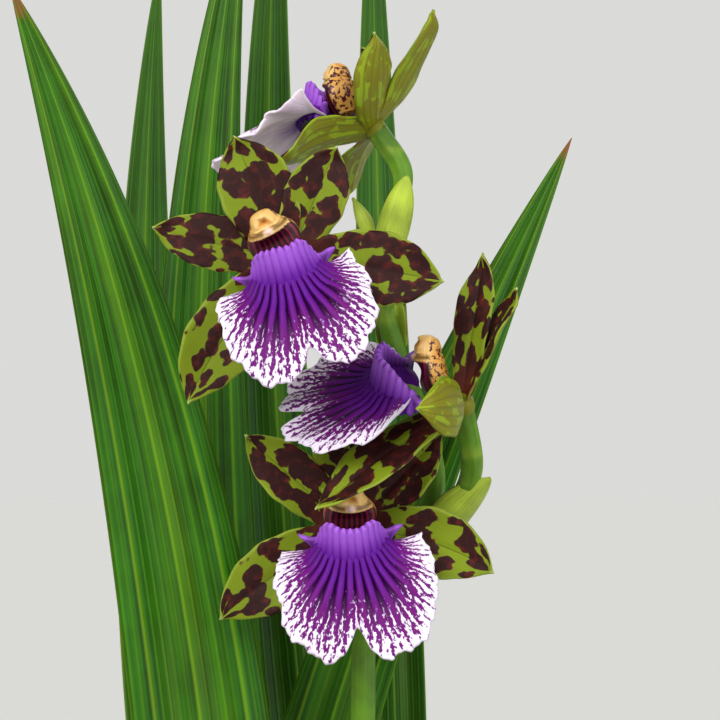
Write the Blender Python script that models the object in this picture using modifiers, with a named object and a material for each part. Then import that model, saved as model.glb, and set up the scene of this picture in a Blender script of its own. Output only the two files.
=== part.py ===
"""A zygopetalum orchid in a plain pot: pseudobulbs, strap leaves and one flower spike with four blooms.

Metres, +Z up. The origin is the middle of the pot's flat underside, and the blooms look towards -Y.
Lengths below are in millimetres, as real sizes, and are turned into metres where a mesh is made.
"""

import math
import random

import bmesh
import bpy
from mathutils import Vector

MM = 0.001
GAP = 0.35  # clear space between two pieces that touch

# Pot and bark
POT_HEIGHT = 122.0
POT_TOP_RADIUS = 72.0
POT_FOOT_RADIUS = 52.0
POT_RIM_HEIGHT = 20.0
POT_RIM_STEP = 4.0
POT_WALL = 4.5
POT_FLOOR = 6.0
POT_STEPS = 44
DRAIN_RADIUS = 4.0
DRAIN_CIRCLE = 26.0
DRAIN_COUNT = 4
DRAIN_SIDES = 12
DRAIN_CUT_DEPTH = 30.0
BARK_TOP = 106.0
BARK_DOME = 5.0
BARK_STEPS = 28
BARK_ROW_SHARES = (0.35, 0.7, 0.98)
BARK_CHIPS = 34
BARK_CHIP_SEED = 11
BARK_CHIP_TURN = 137.5
BARK_CHIP_LENGTHS = (9.0, 14.0)
BARK_CHIP_THICKNESSES = (4.5, 6.5)
BARK_CHIP_LEAN = 0.35
BARK_CHIP_LIFT = 0.6
BARK_CHIP_SPREAD = 0.86
BARK_HOLE_SIDES = 20
BARK_CUT_RISE = 30.0

# Pseudobulbs: name, place of the middle, height above the bark, radius
BULB_SINK = 9.0
BULB_STEPS = 14
BULB_FOOT_RISE = 2.0
BULBS = (
    ("pseudobulb_front", (-27.0, -17.0), 56.0, 17.0),
    ("pseudobulb_left", (-30.0, 22.0), 60.0, 18.0),
    ("pseudobulb_back", (10.0, 30.0), 54.0, 17.0),
    ("pseudobulb_right", (33.0, -4.0), 50.0, 16.0),
)
# Radius as a share of the bulb's greatest and height as a share of its whole, from its tip down
BULB_PROFILE = ((0.0, 1.0), (0.28, 0.985), (0.52, 0.9), (0.8, 0.72), (0.97, 0.5), (1.0, 0.32), (0.93, 0.16))
BULB_FOOT_SHARES = (0.8, 0.7)

# Leaves
LEAF_THICKNESS = 1.1
LEAF_FOOT_WIDTH = 11.0
LEAF_TIP_WIDTH = 0.9
LEAF_FOOT_FOLD = 58.0
LEAF_FOLD = 9.0
LEAF_FOOT_LIFT = 1.2
LEAF_SHOULDER_RADIUS = 3.0
LEAF_SHOULDER_SLOPE = 0.25
LEAF_ROWS = 15
LEAF_COLUMNS = 4

# Blooms
TEPAL_THICKNESS = 1.1
TEPAL_ROWS = 7
TEPAL_COLUMNS = 4
HUB_RADIUS = 4.2
LIP_THICKNESS = 1.1
LIP_HALF_ANGLE = 83.0
LIP_CLAW = 3.0
LIP_WING_LIFT = 2.5
LIP_FLAT_LENGTH = 3.0
LIP_BEND_LENGTH = 16.0
LIP_WAVE = 1.3
LIP_WAVES_PER_TURN = 5.0
LIP_ROWS = 4
LIP_COLUMNS = 20
CREST_HALF_ANGLE = 102.0
CREST_RADIUS = 8.2
CREST_HEIGHT = 12.0
CREST_THICKNESS = 2.4
CREST_ROWS = 1
CREST_COLUMNS = 10
COLUMN_SIDES = 10
# Share of the column's length, half its width there and half its depth
COLUMN_PROFILE = (
    (0.0, 4.2, 3.2),
    (0.2, 6.0, 4.0),
    (0.42, 6.4, 4.1),
    (0.6, 5.4, 4.0),
    (0.74, 4.2, 3.7),
    (0.88, 3.3, 3.0),
    (1.0, 1.6, 1.4),
)

# Spike
SCAPE_FOOT_RADIUS = 3.9
SCAPE_TOP_RADIUS = 2.3
PEDICEL_RADIUS = 2.4
OVARY_RADIUS = 3.0
BRACT_THICKNESS = 1.0
BRACT_CLASP_ANGLE = 88.0
BRACT_ROWS = 4
BRACT_COLUMNS = 6
SPIKE_STEPS = 3
SCAPE_RESOLUTION = 2
PEDICEL_RESOLUTION = 1
SCAPE_HOLE_GAP = 1.6
SCAPE_HOLE_DEPTH = 13.0


def clear_scene():
    for obj in list(bpy.data.objects):
        bpy.data.objects.remove(obj, do_unlink=True)


def collection_named(name):
    collection = bpy.data.collections.new(name)
    bpy.context.scene.collection.children.link(collection)
    return collection


def material(name, colour, roughness):
    made = bpy.data.materials.new(name)
    made.use_nodes = True
    shader = made.node_tree.nodes["Principled BSDF"]
    shader.inputs["Base Color"].default_value = (*colour, 1.0)
    shader.inputs["Roughness"].default_value = roughness
    shader.inputs["Metallic"].default_value = 0.0
    return made


def smoothstep(low, high, value):
    x = min(1.0, max(0.0, (value - low) / (high - low)))
    return x * x * (3 - 2 * x)


def object_from(name, mesh, collection, finish):
    obj = bpy.data.objects.new(name, mesh)
    collection.objects.link(obj)
    mesh.materials.append(finish)
    mesh.shade_smooth()
    return obj


def sheet(name, columns, rows, place, thickness, collection, finish):
    """A closed blade: a grid whose points go where place(across, along) says, thickened both ways."""
    work = bmesh.new()
    bmesh.ops.create_grid(work, x_segments=columns, y_segments=rows, size=1.0)
    bmesh.ops.triangulate(work, faces=work.faces[:], quad_method="FIXED")
    for vertex in work.verts:
        vertex.co = place(vertex.co.x, (vertex.co.y + 1) / 2) * MM
    mesh = bpy.data.meshes.new(name)
    work.to_mesh(mesh)
    work.free()
    obj = object_from(name, mesh, collection, finish)
    solidify = obj.modifiers.new("thickness", "SOLIDIFY")
    solidify.thickness = thickness * MM
    solidify.offset = 0.0
    return obj


def tube(name, points, radii, collection, finish, resolution):
    """A closed mesh tube through points, with a radius at each of them. It has 2 * resolution + 4 sides."""
    curve = bpy.data.curves.new(name, "CURVE")
    curve.dimensions = "3D"
    curve.bevel_depth = MM
    curve.bevel_resolution = resolution
    curve.use_fill_caps = True
    spline = curve.splines.new("POLY")
    spline.points.add(len(points) - 1)
    for target, point, radius in zip(spline.points, points, radii):
        target.co = (*(point * MM), 1.0)
        target.radius = radius
    guide = bpy.data.objects.new(name + "_line", curve)
    collection.objects.link(guide)
    graph = bpy.context.evaluated_depsgraph_get()
    mesh = bpy.data.meshes.new_from_object(guide.evaluated_get(graph))
    bpy.data.objects.remove(guide)
    work = bmesh.new()
    work.from_mesh(mesh)
    bmesh.ops.remove_doubles(work, verts=work.verts, dist=0.00002)
    bmesh.ops.recalc_face_normals(work, faces=work.faces)
    work.to_mesh(mesh)
    work.free()
    return object_from(name, mesh, collection, finish)


def ball(name, centre, radius, collection, finish):
    mesh = bpy.data.meshes.new(name)
    work = bmesh.new()
    bmesh.ops.create_icosphere(work, subdivisions=1, radius=radius * MM)
    bmesh.ops.translate(work, verts=work.verts, vec=centre * MM)
    work.to_mesh(mesh)
    work.free()
    return object_from(name, mesh, collection, finish)


def join(target, parts):
    """Unions the parts into target, applies it and removes the parts."""
    group = bpy.data.collections.new(target.name + "_parts")
    bpy.context.scene.collection.children.link(group)
    for obj in parts:
        for owner in list(obj.users_collection):
            owner.objects.unlink(obj)
        group.objects.link(obj)
    union = target.modifiers.new("union", "BOOLEAN")
    union.operation = "UNION"
    union.operand_type = "COLLECTION"
    union.collection = group
    union.solver = "MANIFOLD"
    apply_modifiers(target)
    for obj in parts:
        bpy.data.objects.remove(obj)
    bpy.data.collections.remove(group)
    return target


def apply_modifiers(target):
    graph = bpy.context.evaluated_depsgraph_get()
    mesh = bpy.data.meshes.new_from_object(target.evaluated_get(graph))
    target.modifiers.clear()
    target.data = mesh


def smooth_route(points, steps):
    """Points along a Catmull-Rom curve through the given ones, steps to each stretch."""
    route = [Vector(p) for p in points]
    padded = [route[0] * 2 - route[1], *route, route[-1] * 2 - route[-2]]
    found = []
    for i in range(1, len(padded) - 2):
        a, b, c, d = padded[i - 1 : i + 3]
        for k in range(steps):
            t = k / steps
            square = (2 * a - 5 * b + 4 * c - d) * t**2
            cube = (3 * b - a - 3 * c + d) * t**3
            found.append(0.5 * (2 * b + (c - a) * t + square + cube))
    found.append(route[-1])
    return found


class Ribbon:
    """The middle line of a blade, a cubic Bezier curve, with its face turned towards a given side."""

    def __init__(self, points, face, turn=0.0):
        self.points = [Vector(p) for p in points]
        self.face = Vector(face).normalized()
        self.turn = math.radians(turn)

    def at(self, t):
        """(place, direction along, direction across, direction out of the face) at t from 0 to 1."""
        a, b, c, d = self.points
        u = 1 - t
        place = a * u**3 + b * 3 * u * u * t + c * 3 * u * t * t + d * t**3
        along = ((b - a) * u * u + (c - b) * 2 * u * t + (d - c) * t * t).normalized()
        out = (self.face - along * self.face.dot(along)).normalized()
        across = along.cross(out)
        angle = self.turn * t
        return (
            place,
            along,
            across * math.cos(angle) + out * math.sin(angle),
            out * math.cos(angle) - across * math.sin(angle),
        )


def tepal_width(t):
    """Share of a tepal's full width at t: a short claw, a broad middle and a drawn-out point."""
    body = math.sin(math.pi * min(1.0, t) ** 1.12) ** 0.72
    foot = 0.42 * (1 - t) ** 2
    return max(0.05, foot + (1 - foot) * body)


def tepal(name, centre, tip, width, face, bow, sweep, cup, collection, finish):
    """A sepal or petal from the bloom's hub to its tip.

    bow arches it along its face, sweep to its side, and cup lifts its edges.
    """
    root = Vector(centre)
    reach = Vector(tip)
    flat = Vector(face) - reach.normalized() * Vector(face).dot(reach.normalized())
    flat.normalize()
    side = reach.normalized().cross(flat)
    lift = flat * bow + side * sweep
    line = Ribbon(
        (root + reach * 0.06, root + reach * 0.35 + lift, root + reach * 0.72 + lift, root + reach),
        face,
    )

    def place(s, t):
        spot, _, across, out = line.at(t)
        half = width / 2 * tepal_width(t)
        return spot + across * (s * half) + out * (cup * half * s * s)

    return sheet(name, TEPAL_COLUMNS, TEPAL_ROWS, place, TEPAL_THICKNESS, collection, finish)


def lip_reach(angle):
    """Share of the lip's full reach at an angle in degrees from its middle.

    It has a notch in the middle and two broad lobes, each with a small dent.
    """
    notch = 0.24 * math.exp(-((angle / 6.0) ** 2))
    shoulder = 0.50 * smoothstep(14.0, 90.0, abs(angle))
    dent = 0.03 * math.exp(-(((abs(angle) - 48.0) / 6.0) ** 2))
    return 1.0 - notch - shoulder - dent


class LipFrame:
    """Where a lip's points go: along the plate, across it and out of its face.

    Past its flat foot the plate bends down by droop.
    """

    def __init__(self, origin, yaw, tilt, roll, reach, droop, skew):
        self.origin = Vector(origin)
        yaw, tilt, roll = (math.radians(x) for x in (yaw, tilt, roll))
        ahead = Vector((math.sin(yaw), -math.cos(yaw), 0))
        beside = Vector((math.cos(yaw), math.sin(yaw), 0))
        above = Vector((0, 0, 1))
        self.forward = ahead * math.cos(tilt) - above * math.sin(tilt)
        raised = ahead * math.sin(tilt) + above * math.cos(tilt)
        self.side = beside * math.cos(roll) + raised * math.sin(roll)
        self.face = raised * math.cos(roll) - beside * math.sin(roll)
        self.reach = reach
        self.skew = skew
        self.droop = math.radians(droop)
        self.bend = self.droop / LIP_BEND_LENGTH

    def at(self, ahead, beside, out):
        """The point that far along, across and out of the bent plate."""
        bent = ahead - LIP_FLAT_LENGTH
        angle = min(self.droop, self.bend * max(0.0, bent))
        straight = max(0.0, bent - LIP_BEND_LENGTH)
        run = min(ahead, LIP_FLAT_LENGTH) + math.sin(angle) / self.bend + straight * math.cos(self.droop)
        drop = (1 - math.cos(angle)) / self.bend + straight * math.sin(self.droop)
        place = self.origin + self.forward * run - self.face * drop + self.side * beside
        return place + (self.forward * math.sin(angle) + self.face * math.cos(angle)) * out


def lip(name, frame, arch, collection, finish):
    """The lip: a fan-shaped plate with a wavy margin and, at its foot, the horseshoe crest."""

    def plate(s, t):
        angle = s * LIP_HALF_ANGLE
        outer = frame.reach * lip_reach(angle) * (1 - frame.skew * smoothstep(45.0, LIP_HALF_ANGLE, angle))
        r = LIP_CLAW + (outer - LIP_CLAW) * t
        beside = r * math.sin(math.radians(angle))
        wave = LIP_WAVE * t**3 * math.sin(math.radians(angle * LIP_WAVES_PER_TURN))
        wing = LIP_WING_LIFT * t * t * smoothstep(55.0, LIP_HALF_ANGLE, abs(angle))
        sag = arch * (beside / frame.reach) ** 2
        return frame.at(r * math.cos(math.radians(angle)), beside, wave + wing - sag)

    def crest(s, t):
        angle = math.radians(s * CREST_HALF_ANGLE)
        flare = 1 + 0.18 * t + 0.30 * t * smoothstep(0.8, 1.0, abs(s))
        r = CREST_RADIUS * flare
        height = CREST_HEIGHT * (1 - 0.65 * smoothstep(0.3, 0.9, abs(s)))
        return frame.at(r * math.cos(angle), r * math.sin(angle), height * (t * 1.1 - 0.1))

    plate_sheet = sheet(name, LIP_COLUMNS, LIP_ROWS, plate, LIP_THICKNESS, collection, finish)
    crest_sheet = sheet(
        name + "_crest", CREST_COLUMNS, CREST_ROWS, crest, CREST_THICKNESS, collection, finish
    )
    return join(plate_sheet, [crest_sheet])


def column(name, foot, tip, hood, across, collection, finish):
    """The column: a stout, flattened finger that bends over the crest and ends in the anther cap."""
    start, end = Vector(foot), Vector(tip)
    middle = (start + end) / 2 + Vector(hood)
    points = []
    for t, half_width, half_depth in COLUMN_PROFILE:
        spot = start * (1 - t) ** 2 + middle * 2 * t * (1 - t) + end * t * t
        along = ((middle - start) * (1 - t) + (end - middle) * t).normalized()
        wide = (across - along * across.dot(along)).normalized()
        deep = along.cross(wide)
        for k in range(COLUMN_SIDES):
            angle = 2 * math.pi * k / COLUMN_SIDES
            step = wide * math.cos(angle) * half_width + deep * math.sin(angle) * half_depth
            points.append((spot + step) * MM)
    last = (len(COLUMN_PROFILE) - 1) * COLUMN_SIDES
    faces = [[k for k in reversed(range(COLUMN_SIDES))], [last + k for k in range(COLUMN_SIDES)]]
    for ring in range(0, last, COLUMN_SIDES):
        for k in range(COLUMN_SIDES):
            a, b = ring + k, ring + (k + 1) % COLUMN_SIDES
            faces.append([a, b, b + COLUMN_SIDES, a + COLUMN_SIDES])
    mesh = bpy.data.meshes.new(name)
    mesh.from_pydata(points, [], faces)
    return object_from(name, mesh, collection, finish)


# Each bloom: the middle of its tepals, its tepals (tip from the middle, width, face, bow, sweep, cup),
# its lip (place from the middle, yaw, tilt, roll, reach, droop, skew, arch) and its column (foot, tip, hood)
BLOOMS = {
    "bloom_top": {
        "centre": (4.1, 8.0, 523.4),
        "tepals": (
            ((17.5, -3.0, 32.0), 13.0, (-0.85, 0.35, 0.35), -2.0, 0.0, 0.15),
            ((1.0, -17.0, 24.0), 13.5, (-0.75, 0.50, 0.45), -3.0, 4.0, 0.20),
            ((-2.5, 24.0, 26.0), 13.0, (-0.75, -0.45, 0.35), -2.0, 0.0, 0.15),
            ((-24.5, -20.0, -11.5), 15.0, (-0.35, 0.55, 0.75), 4.0, 0.0, 0.20),
            ((-7.0, 30.0, -17.0), 15.0, (-0.60, 0.10, 0.75), 3.0, 0.0, 0.20),
        ),
        "lip": ((-10.0, 3.0, 1.0), -118.0, -8.0, 8.0, 34.0, 66.0, 0.0, 1.0),
        "column": ((-7.5, 3.5, 4.0), (-10.0, 5.5, 19.0), (-2.0, 1.0, 1.0)),
    },
    "bloom_upper": {
        "centre": (-18.6, -24.0, 485.4),
        "tepals": (
            ((-14.2, 2.0, 32.5), 20.0, (0.0, -1.0, 0.1), 1.0, 0.0, 0.15),
            ((12.5, 1.0, 29.9), 16.5, (0.1, -1.0, 0.1), 1.0, 0.0, 0.15),
            ((-35.0, 0.0, 8.5), 15.0, (0.1, -1.0, 0.2), 1.0, 0.0, 0.15),
            ((-25.5, -4.0, -36.5), 19.0, (0.1, -1.0, 0.15), 3.0, 3.0, 0.15),
            ((40.0, -4.0, -5.5), 20.0, (-0.1, -1.0, 0.15), 3.0, -1.0, 0.15),
        ),
        "lip": ((0.5, -8.0, -5.0), 5.0, 12.0, 17.0, 34.0, 58.0, 0.0, 1.0),
        "column": ((-1.0, -7.0, 3.5), (-6.5, -15.5, 10.0), (-1.0, -1.0, 3.0)),
    },
    "bloom_middle": {
        "centre": (27.0, -15.0, 448.0),
        "tepals": (
            ((15.3, -4.0, 30.0), 14.0, (-0.93, -0.30, 0.30), 2.0, 0.0, 0.15),
            ((6.5, 4.0, 40.0), 12.0, (-0.60, -0.78, 0.15), 1.0, 0.0, 0.15),
            ((-12.0, -31.0, 0.0), 16.0, (-0.78, 0.50, -0.10), -5.0, 0.0, 0.20),
            ((-38.0, -17.0, -27.0), 15.0, (-0.25, -0.70, 0.67), 3.0, 0.0, 0.20),
            ((2.5, 31.0, -6.5), 12.5, (-0.75, 0.0, 0.65), 2.0, 0.0, 0.20),
        ),
        "lip": ((-14.0, -2.5, 4.0), -82.0, -2.0, -33.0, 36.5, 26.0, 0.5, 1.0),
        "column": ((-6.0, -1.5, 3.5), (-8.5, -3.0, 18.5), (-3.0, 0.0, 1.0)),
    },
    "bloom_lower": {
        "centre": (-2.6, -12.0, 415.0),
        "tepals": (
            ((-1.5, 4.0, 35.0), 18.0, (0.0, -1.0, 0.1), 1.0, 0.0, 0.15),
            ((-28.0, 1.0, 25.0), 15.0, (0.1, -1.0, 0.1), 1.0, 0.0, 0.15),
            ((24.5, 2.0, 25.5), 15.0, (-0.1, -1.0, 0.1), 1.0, 0.0, 0.15),
            ((-34.0, -4.0, -23.0), 18.0, (0.1, -1.0, 0.15), 3.0, 2.0, 0.15),
            ((37.5, -4.0, -11.0), 18.0, (-0.1, -1.0, 0.15), 3.0, -4.0, 0.15),
        ),
        "lip": ((0.5, -8.0, -4.0), 2.0, 18.0, 5.0, 35.5, 60.0, 0.0, 1.0),
        "column": ((0.0, -6.0, 3.5), (0.0, -14.5, 12.5), (0.0, -1.0, 3.0)),
    },
}

TEPAL_NAMES = ("dorsal_sepal", "petal_a", "petal_b", "lateral_sepal_a", "lateral_sepal_b")


def offset(centre, step):
    return Vector(centre) + Vector(step)


def add_blooms(collection, green, purple, cream):
    for name, bloom in BLOOMS.items():
        centre = bloom["centre"]
        hub = ball(name + "_tepals", Vector(centre), HUB_RADIUS, collection, green)
        blades = [
            tepal(f"{name}_{part}", centre, *shape, collection, green)
            for part, shape in zip(TEPAL_NAMES, bloom["tepals"])
        ]
        join(hub, blades)
        place, yaw, tilt, roll, reach, droop, skew, arch = bloom["lip"]
        frame = LipFrame(offset(centre, place), yaw, tilt, roll, reach, droop, skew)
        lip(name + "_lip", frame, arch, collection, purple)
        foot, tip, hood = bloom["column"]
        ends = (offset(centre, foot), offset(centre, tip))
        column(name + "_column", *ends, hood, frame.side, collection, cream)


# The scape zigzags from one bloom's node to the next. Each pedicel runs from its node to its bloom's back.
SCAPE = (
    (4.0, -6.0, 101.5),
    (3.0, 0.0, 180.0),
    (0.5, 6.0, 270.0),
    (0.8, 10.0, 362.0),
    (2.5, 11.0, 386.0),
    (14.0, 11.0, 409.0),
    (20.5, 10.0, 425.0),
    (17.5, 9.0, 442.0),
    (9.0, 9.0, 465.0),
    (6.6, 8.0, 478.0),
    (8.0, 7.0, 490.0),
)
PEDICELS = {
    "bloom_lower": ((4.5, 11.0, 391.0), (5.0, 22.0, 398.0), (2.0, 20.0, 410.0), (-1.0, 5.0, 416.0)),
    "bloom_middle": ((19.0, 10.5, 417.0), (25.5, 2.0, 421.0), (30.0, -5.0, 431.0), (29.5, -8.0, 440.0)),
    "bloom_upper": ((9.5, 9.0, 464.5), (6.0, 16.0, 474.0), (-7.0, 7.0, 483.0), (-13.5, -8.0, 486.0)),
    "bloom_top": ((8.2, 7.0, 488.0), (10.6, 5.0, 501.0), (11.4, 6.0, 512.0), (8.5, 8.0, 519.5)),
}
BRACTS = {
    "bloom_lower": ((4.0, 13.0, 386.5), (7.0, 27.0, 405.0), (0.0, -1.0, 0.4), 13.0),
    "bloom_middle": ((18.5, 6.0, 413.0), (34.0, -7.5, 428.0), (-0.6, -0.2, 0.8), 14.0),
    "bloom_upper": ((9.0, 12.0, 462.0), (8.0, 22.0, 480.0), (0.0, -1.0, 0.3), 13.0),
    "bloom_top": ((8.5, 10.0, 488.5), (16.0, 9.5, 510.0), (-0.9, -0.1, 0.3), 13.0),
}
END_BUD = ((7.4, 8.0, 485.0), (4.5, 10.0, 490.5), (1.5, 12.0, 498.0), (-2.0, 13.5, 505.0))
END_BUD_RADII = (1.0, 1.0, 2.2, 0.8)


def bract(name, foot, tip, face, width, collection, finish):
    """A boat-shaped bract that clasps a pedicel's foot."""
    start, end = Vector(foot), Vector(tip)
    line = Ribbon((start, start.lerp(end, 0.3), start.lerp(end, 0.7), end), face)

    def place(s, t):
        spot, _, across, out = line.at(t)
        half = width / 2 * (0.75 + 0.5 * t - 1.2 * t**3)
        bend = math.radians(BRACT_CLASP_ANGLE) * s * (1 - 0.35 * t)
        lifted = half * 0.72
        return spot + across * (math.sin(bend) * lifted) + out * ((1 - math.cos(bend)) * lifted)

    return sheet(name, BRACT_COLUMNS, BRACT_ROWS, place, BRACT_THICKNESS, collection, finish)


def evenly(first, last, count):
    """count values in even steps from first to last."""
    return [first + (last - first) * k / (count - 1) for k in range(count)]


def add_spike(collection, finish):
    """The scape with its pedicels, ovaries, bracts and the small last bud, grown as one."""
    route = smooth_route(SCAPE, SPIKE_STEPS)
    radii = evenly(SCAPE_FOOT_RADIUS, SCAPE_TOP_RADIUS, len(route))
    scape = tube("flower_spike", route, radii, collection, finish, SCAPE_RESOLUTION)
    grown = []
    for name, route_points in PEDICELS.items():
        centre = Vector(BLOOMS[name]["centre"])
        last = Vector(route_points[-1])
        end = centre + (last - centre).normalized() * (HUB_RADIUS + GAP)
        line = smooth_route((*route_points[:-1], end), SPIKE_STEPS)
        widths = evenly(PEDICEL_RADIUS, OVARY_RADIUS, len(line))
        grown.append(tube(name + "_pedicel", line, widths, collection, finish, PEDICEL_RESOLUTION))
        foot, tip, face, width = BRACTS[name]
        grown.append(bract(name + "_bract", foot, tip, face, width, collection, finish))
    bud_line = [Vector(p) for p in END_BUD]
    grown.append(tube("end_bud", bud_line, END_BUD_RADII, collection, finish, PEDICEL_RESOLUTION))
    join(scape, grown)


# Each leaf: the bulb it grows from and where on it, two points that steer it and its tip, its face,
# its width and its turn along its length in degrees
LEAVES = {
    "leaf_front_left": (
        "pseudobulb_front",
        (-4.0, 0.0),
        ((-34.0, -10.0, 280.0), (-35.0, -2.0, 420.0), (-95.0, 0.0, 562.0)),
        (0.3, -1.0, 0.1),
        38.0,
        8.0,
    ),
    "leaf_front_low": (
        "pseudobulb_front",
        (5.0, -5.0),
        ((-30.0, -40.0, 230.0), (-48.0, -75.0, 310.0), (-100.0, -120.0, 320.0)),
        (0.3, 0.8, 0.6),
        32.0,
        0.0,
    ),
    "leaf_left_tall": (
        "pseudobulb_left",
        (3.0, 0.0),
        ((-34.0, 40.0, 300.0), (-66.0, 60.0, 440.0), (-34.0, 66.0, 610.0)),
        (0.1, -1.0, 0.1),
        32.0,
        -10.0,
    ),
    "leaf_left_dark": (
        "pseudobulb_left",
        (-4.0, 4.0),
        ((-52.0, 60.0, 290.0), (-78.0, 92.0, 420.0), (-64.0, 100.0, 590.0)),
        (0.2, -1.0, 0.1),
        24.0,
        10.0,
    ),
    "leaf_right_lean": (
        "pseudobulb_left",
        (4.0, -6.0),
        ((-44.0, 34.0, 300.0), (12.0, 38.0, 420.0), (62.0, 44.0, 525.0)),
        (-0.2, -1.0, 0.2),
        29.0,
        20.0,
    ),
    "leaf_left_outer": (
        "pseudobulb_left",
        (-6.0, -3.0),
        ((-80.0, 22.0, 260.0), (-130.0, 24.0, 380.0), (-190.0, 20.0, 330.0)),
        (0.5, -0.3, 0.8),
        30.0,
        0.0,
    ),
    "leaf_back_thin": (
        "pseudobulb_back",
        (-4.0, 2.0),
        ((-10.0, 62.0, 300.0), (-40.0, 84.0, 450.0), (-24.0, 92.0, 640.0)),
        (0.1, -1.0, 0.0),
        24.0,
        15.0,
    ),
    "leaf_back_upright": (
        "pseudobulb_back",
        (4.0, 3.0),
        ((16.0, 70.0, 300.0), (4.0, 96.0, 450.0), (4.0, 104.0, 630.0)),
        (-0.1, -1.0, 0.0),
        20.0,
        -15.0,
    ),
    "leaf_back_low": (
        "pseudobulb_back",
        (0.0, 7.0),
        ((20.0, 80.0, 230.0), (30.0, 150.0, 330.0), (40.0, 200.0, 270.0)),
        (0.0, -0.6, 0.8),
        30.0,
        0.0,
    ),
    "leaf_right_low": (
        "pseudobulb_right",
        (4.0, 0.0),
        ((60.0, -6.0, 220.0), (110.0, -20.0, 320.0), (165.0, -45.0, 250.0)),
        (-0.6, 0.0, 0.8),
        30.0,
        0.0,
    ),
    "leaf_right_young": (
        "pseudobulb_right",
        (-3.0, 3.0),
        ((38.0, 4.0, 210.0), (60.0, 24.0, 280.0), (96.0, 46.0, 335.0)),
        (-0.7, -0.3, 0.6),
        22.0,
        0.0,
    ),
    "leaf_young": (
        "pseudobulb_front",
        (4.0, 6.0),
        ((-18.0, 6.0, 230.0), (-16.0, 10.0, 310.0), (-34.0, 10.0, 384.0)),
        (0.1, -1.0, 0.1),
        13.0,
        0.0,
    ),
}


def leaf_width(t, width):
    """A leaf's width at t: folded narrow at its foot, broad to the middle, drawn to a point."""
    opened = LEAF_FOOT_WIDTH + (width - LEAF_FOOT_WIDTH) * smoothstep(0.0, 0.42, t)
    taper = (1 - max(0.0, (t - 0.45) / 0.55) ** 2.1) ** 0.9
    return max(LEAF_TIP_WIDTH, opened * taper)


def leaf(name, points, face, width, turn, collection, finish):
    """A strap leaf, folded along its rib at the foot and opening upwards."""
    line = Ribbon(points, face, turn)

    def place(s, t):
        spot, _, across, out = line.at(t)
        half = leaf_width(t, width) / 2
        fold = math.radians(LEAF_FOOT_FOLD * (1 - smoothstep(0.0, 0.5, t)) + LEAF_FOLD)
        return spot + across * (s * half * math.cos(fold)) + out * (abs(s) * half * math.sin(fold))

    return sheet(name, LEAF_COLUMNS, LEAF_ROWS, place, LEAF_THICKNESS, collection, finish)


def bark_height(x, y):
    """The bark's surface, domed to the middle."""
    r = math.hypot(x, y) / (POT_TOP_RADIUS - POT_WALL)
    return BARK_TOP + BARK_DOME * (1 - r * r)


def add_leaves(collection, finish):
    tops = {}
    for name, (x, y), height, _ in BULBS:
        tops[name] = Vector((x, y, bark_height(x, y) + height))
    for name, (bulb, step, points, face, width, turn) in LEAVES.items():
        lowered = LEAF_SHOULDER_SLOPE * max(0.0, math.hypot(*step) - LEAF_SHOULDER_RADIUS)
        foot = tops[bulb] + Vector((*step, LEAF_FOOT_LIFT - lowered))
        leaf(name, (foot, *points), face, width, turn, collection, finish)


def turned(name, profile, steps, collection, finish):
    """A solid of revolution from (radius, height) pairs that close on the axis."""
    mesh = bpy.data.meshes.new(name)
    points = [(r * MM, 0.0, z * MM) for r, z in profile]
    mesh.from_pydata(points, [(k, k + 1) for k in range(len(points) - 1)], [])
    obj = object_from(name, mesh, collection, finish)
    screw = obj.modifiers.new("turn", "SCREW")
    screw.steps = steps
    screw.render_steps = steps
    screw.use_merge_vertices = True
    screw.merge_threshold = 0.00001
    return obj


def bulb_profile(top, radius, foot):
    """From the bulb's tip down its side to its buried foot."""
    upper = [(radius * r, foot + (top - foot) * z) for r, z in BULB_PROFILE]
    side, under = (radius * share for share in BULB_FOOT_SHARES)
    return [*upper, (side, foot + BULB_FOOT_RISE), (under, foot), (0.0, foot)]


def add_bulbs(collection, finish):
    for name, (x, y), height, radius in BULBS:
        ground = bark_height(x, y)
        profile = bulb_profile(ground + height, radius, ground - BULB_SINK)
        obj = turned(name, profile, BULB_STEPS, collection, finish)
        obj.location = (x * MM, y * MM, 0.0)


def add_pot(collection, cutters, finish):
    rim_low = POT_HEIGHT - POT_RIM_HEIGHT
    slope = (POT_TOP_RADIUS - POT_RIM_STEP - POT_FOOT_RADIUS) / rim_low
    profile = [
        (POT_TOP_RADIUS - POT_WALL, POT_HEIGHT - 1.0),
        (POT_TOP_RADIUS - POT_WALL + 1.0, POT_HEIGHT),
        (POT_TOP_RADIUS - 1.5, POT_HEIGHT),
        (POT_TOP_RADIUS, POT_HEIGHT - 1.5),
        (POT_TOP_RADIUS - 1.0, rim_low + 1.0),
        (POT_TOP_RADIUS - 2.0, rim_low),
        (POT_FOOT_RADIUS + slope * rim_low, rim_low),
        (POT_FOOT_RADIUS, 2.0),
        (POT_FOOT_RADIUS - 2.0, 0.0),
        (0.0, 0.0),
    ]
    inner = [
        (0.0, POT_FLOOR),
        (POT_FOOT_RADIUS - POT_WALL, POT_FLOOR),
        (POT_FOOT_RADIUS - POT_WALL + slope * rim_low, rim_low),
    ]
    pot = turned("pot", [*profile, *inner, profile[0]], POT_STEPS, collection, finish)
    cuts = []
    for k in range(DRAIN_COUNT):
        angle = 2 * math.pi * (k + 0.5) / DRAIN_COUNT
        bpy.ops.mesh.primitive_cylinder_add(
            vertices=DRAIN_SIDES,
            radius=DRAIN_RADIUS * MM,
            depth=DRAIN_CUT_DEPTH * MM,
            location=(DRAIN_CIRCLE * MM * math.cos(angle), DRAIN_CIRCLE * MM * math.sin(angle), 0.0),
        )
        cuts.append(bpy.context.object)
    cut_away(pot, cuts, cutters)


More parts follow.
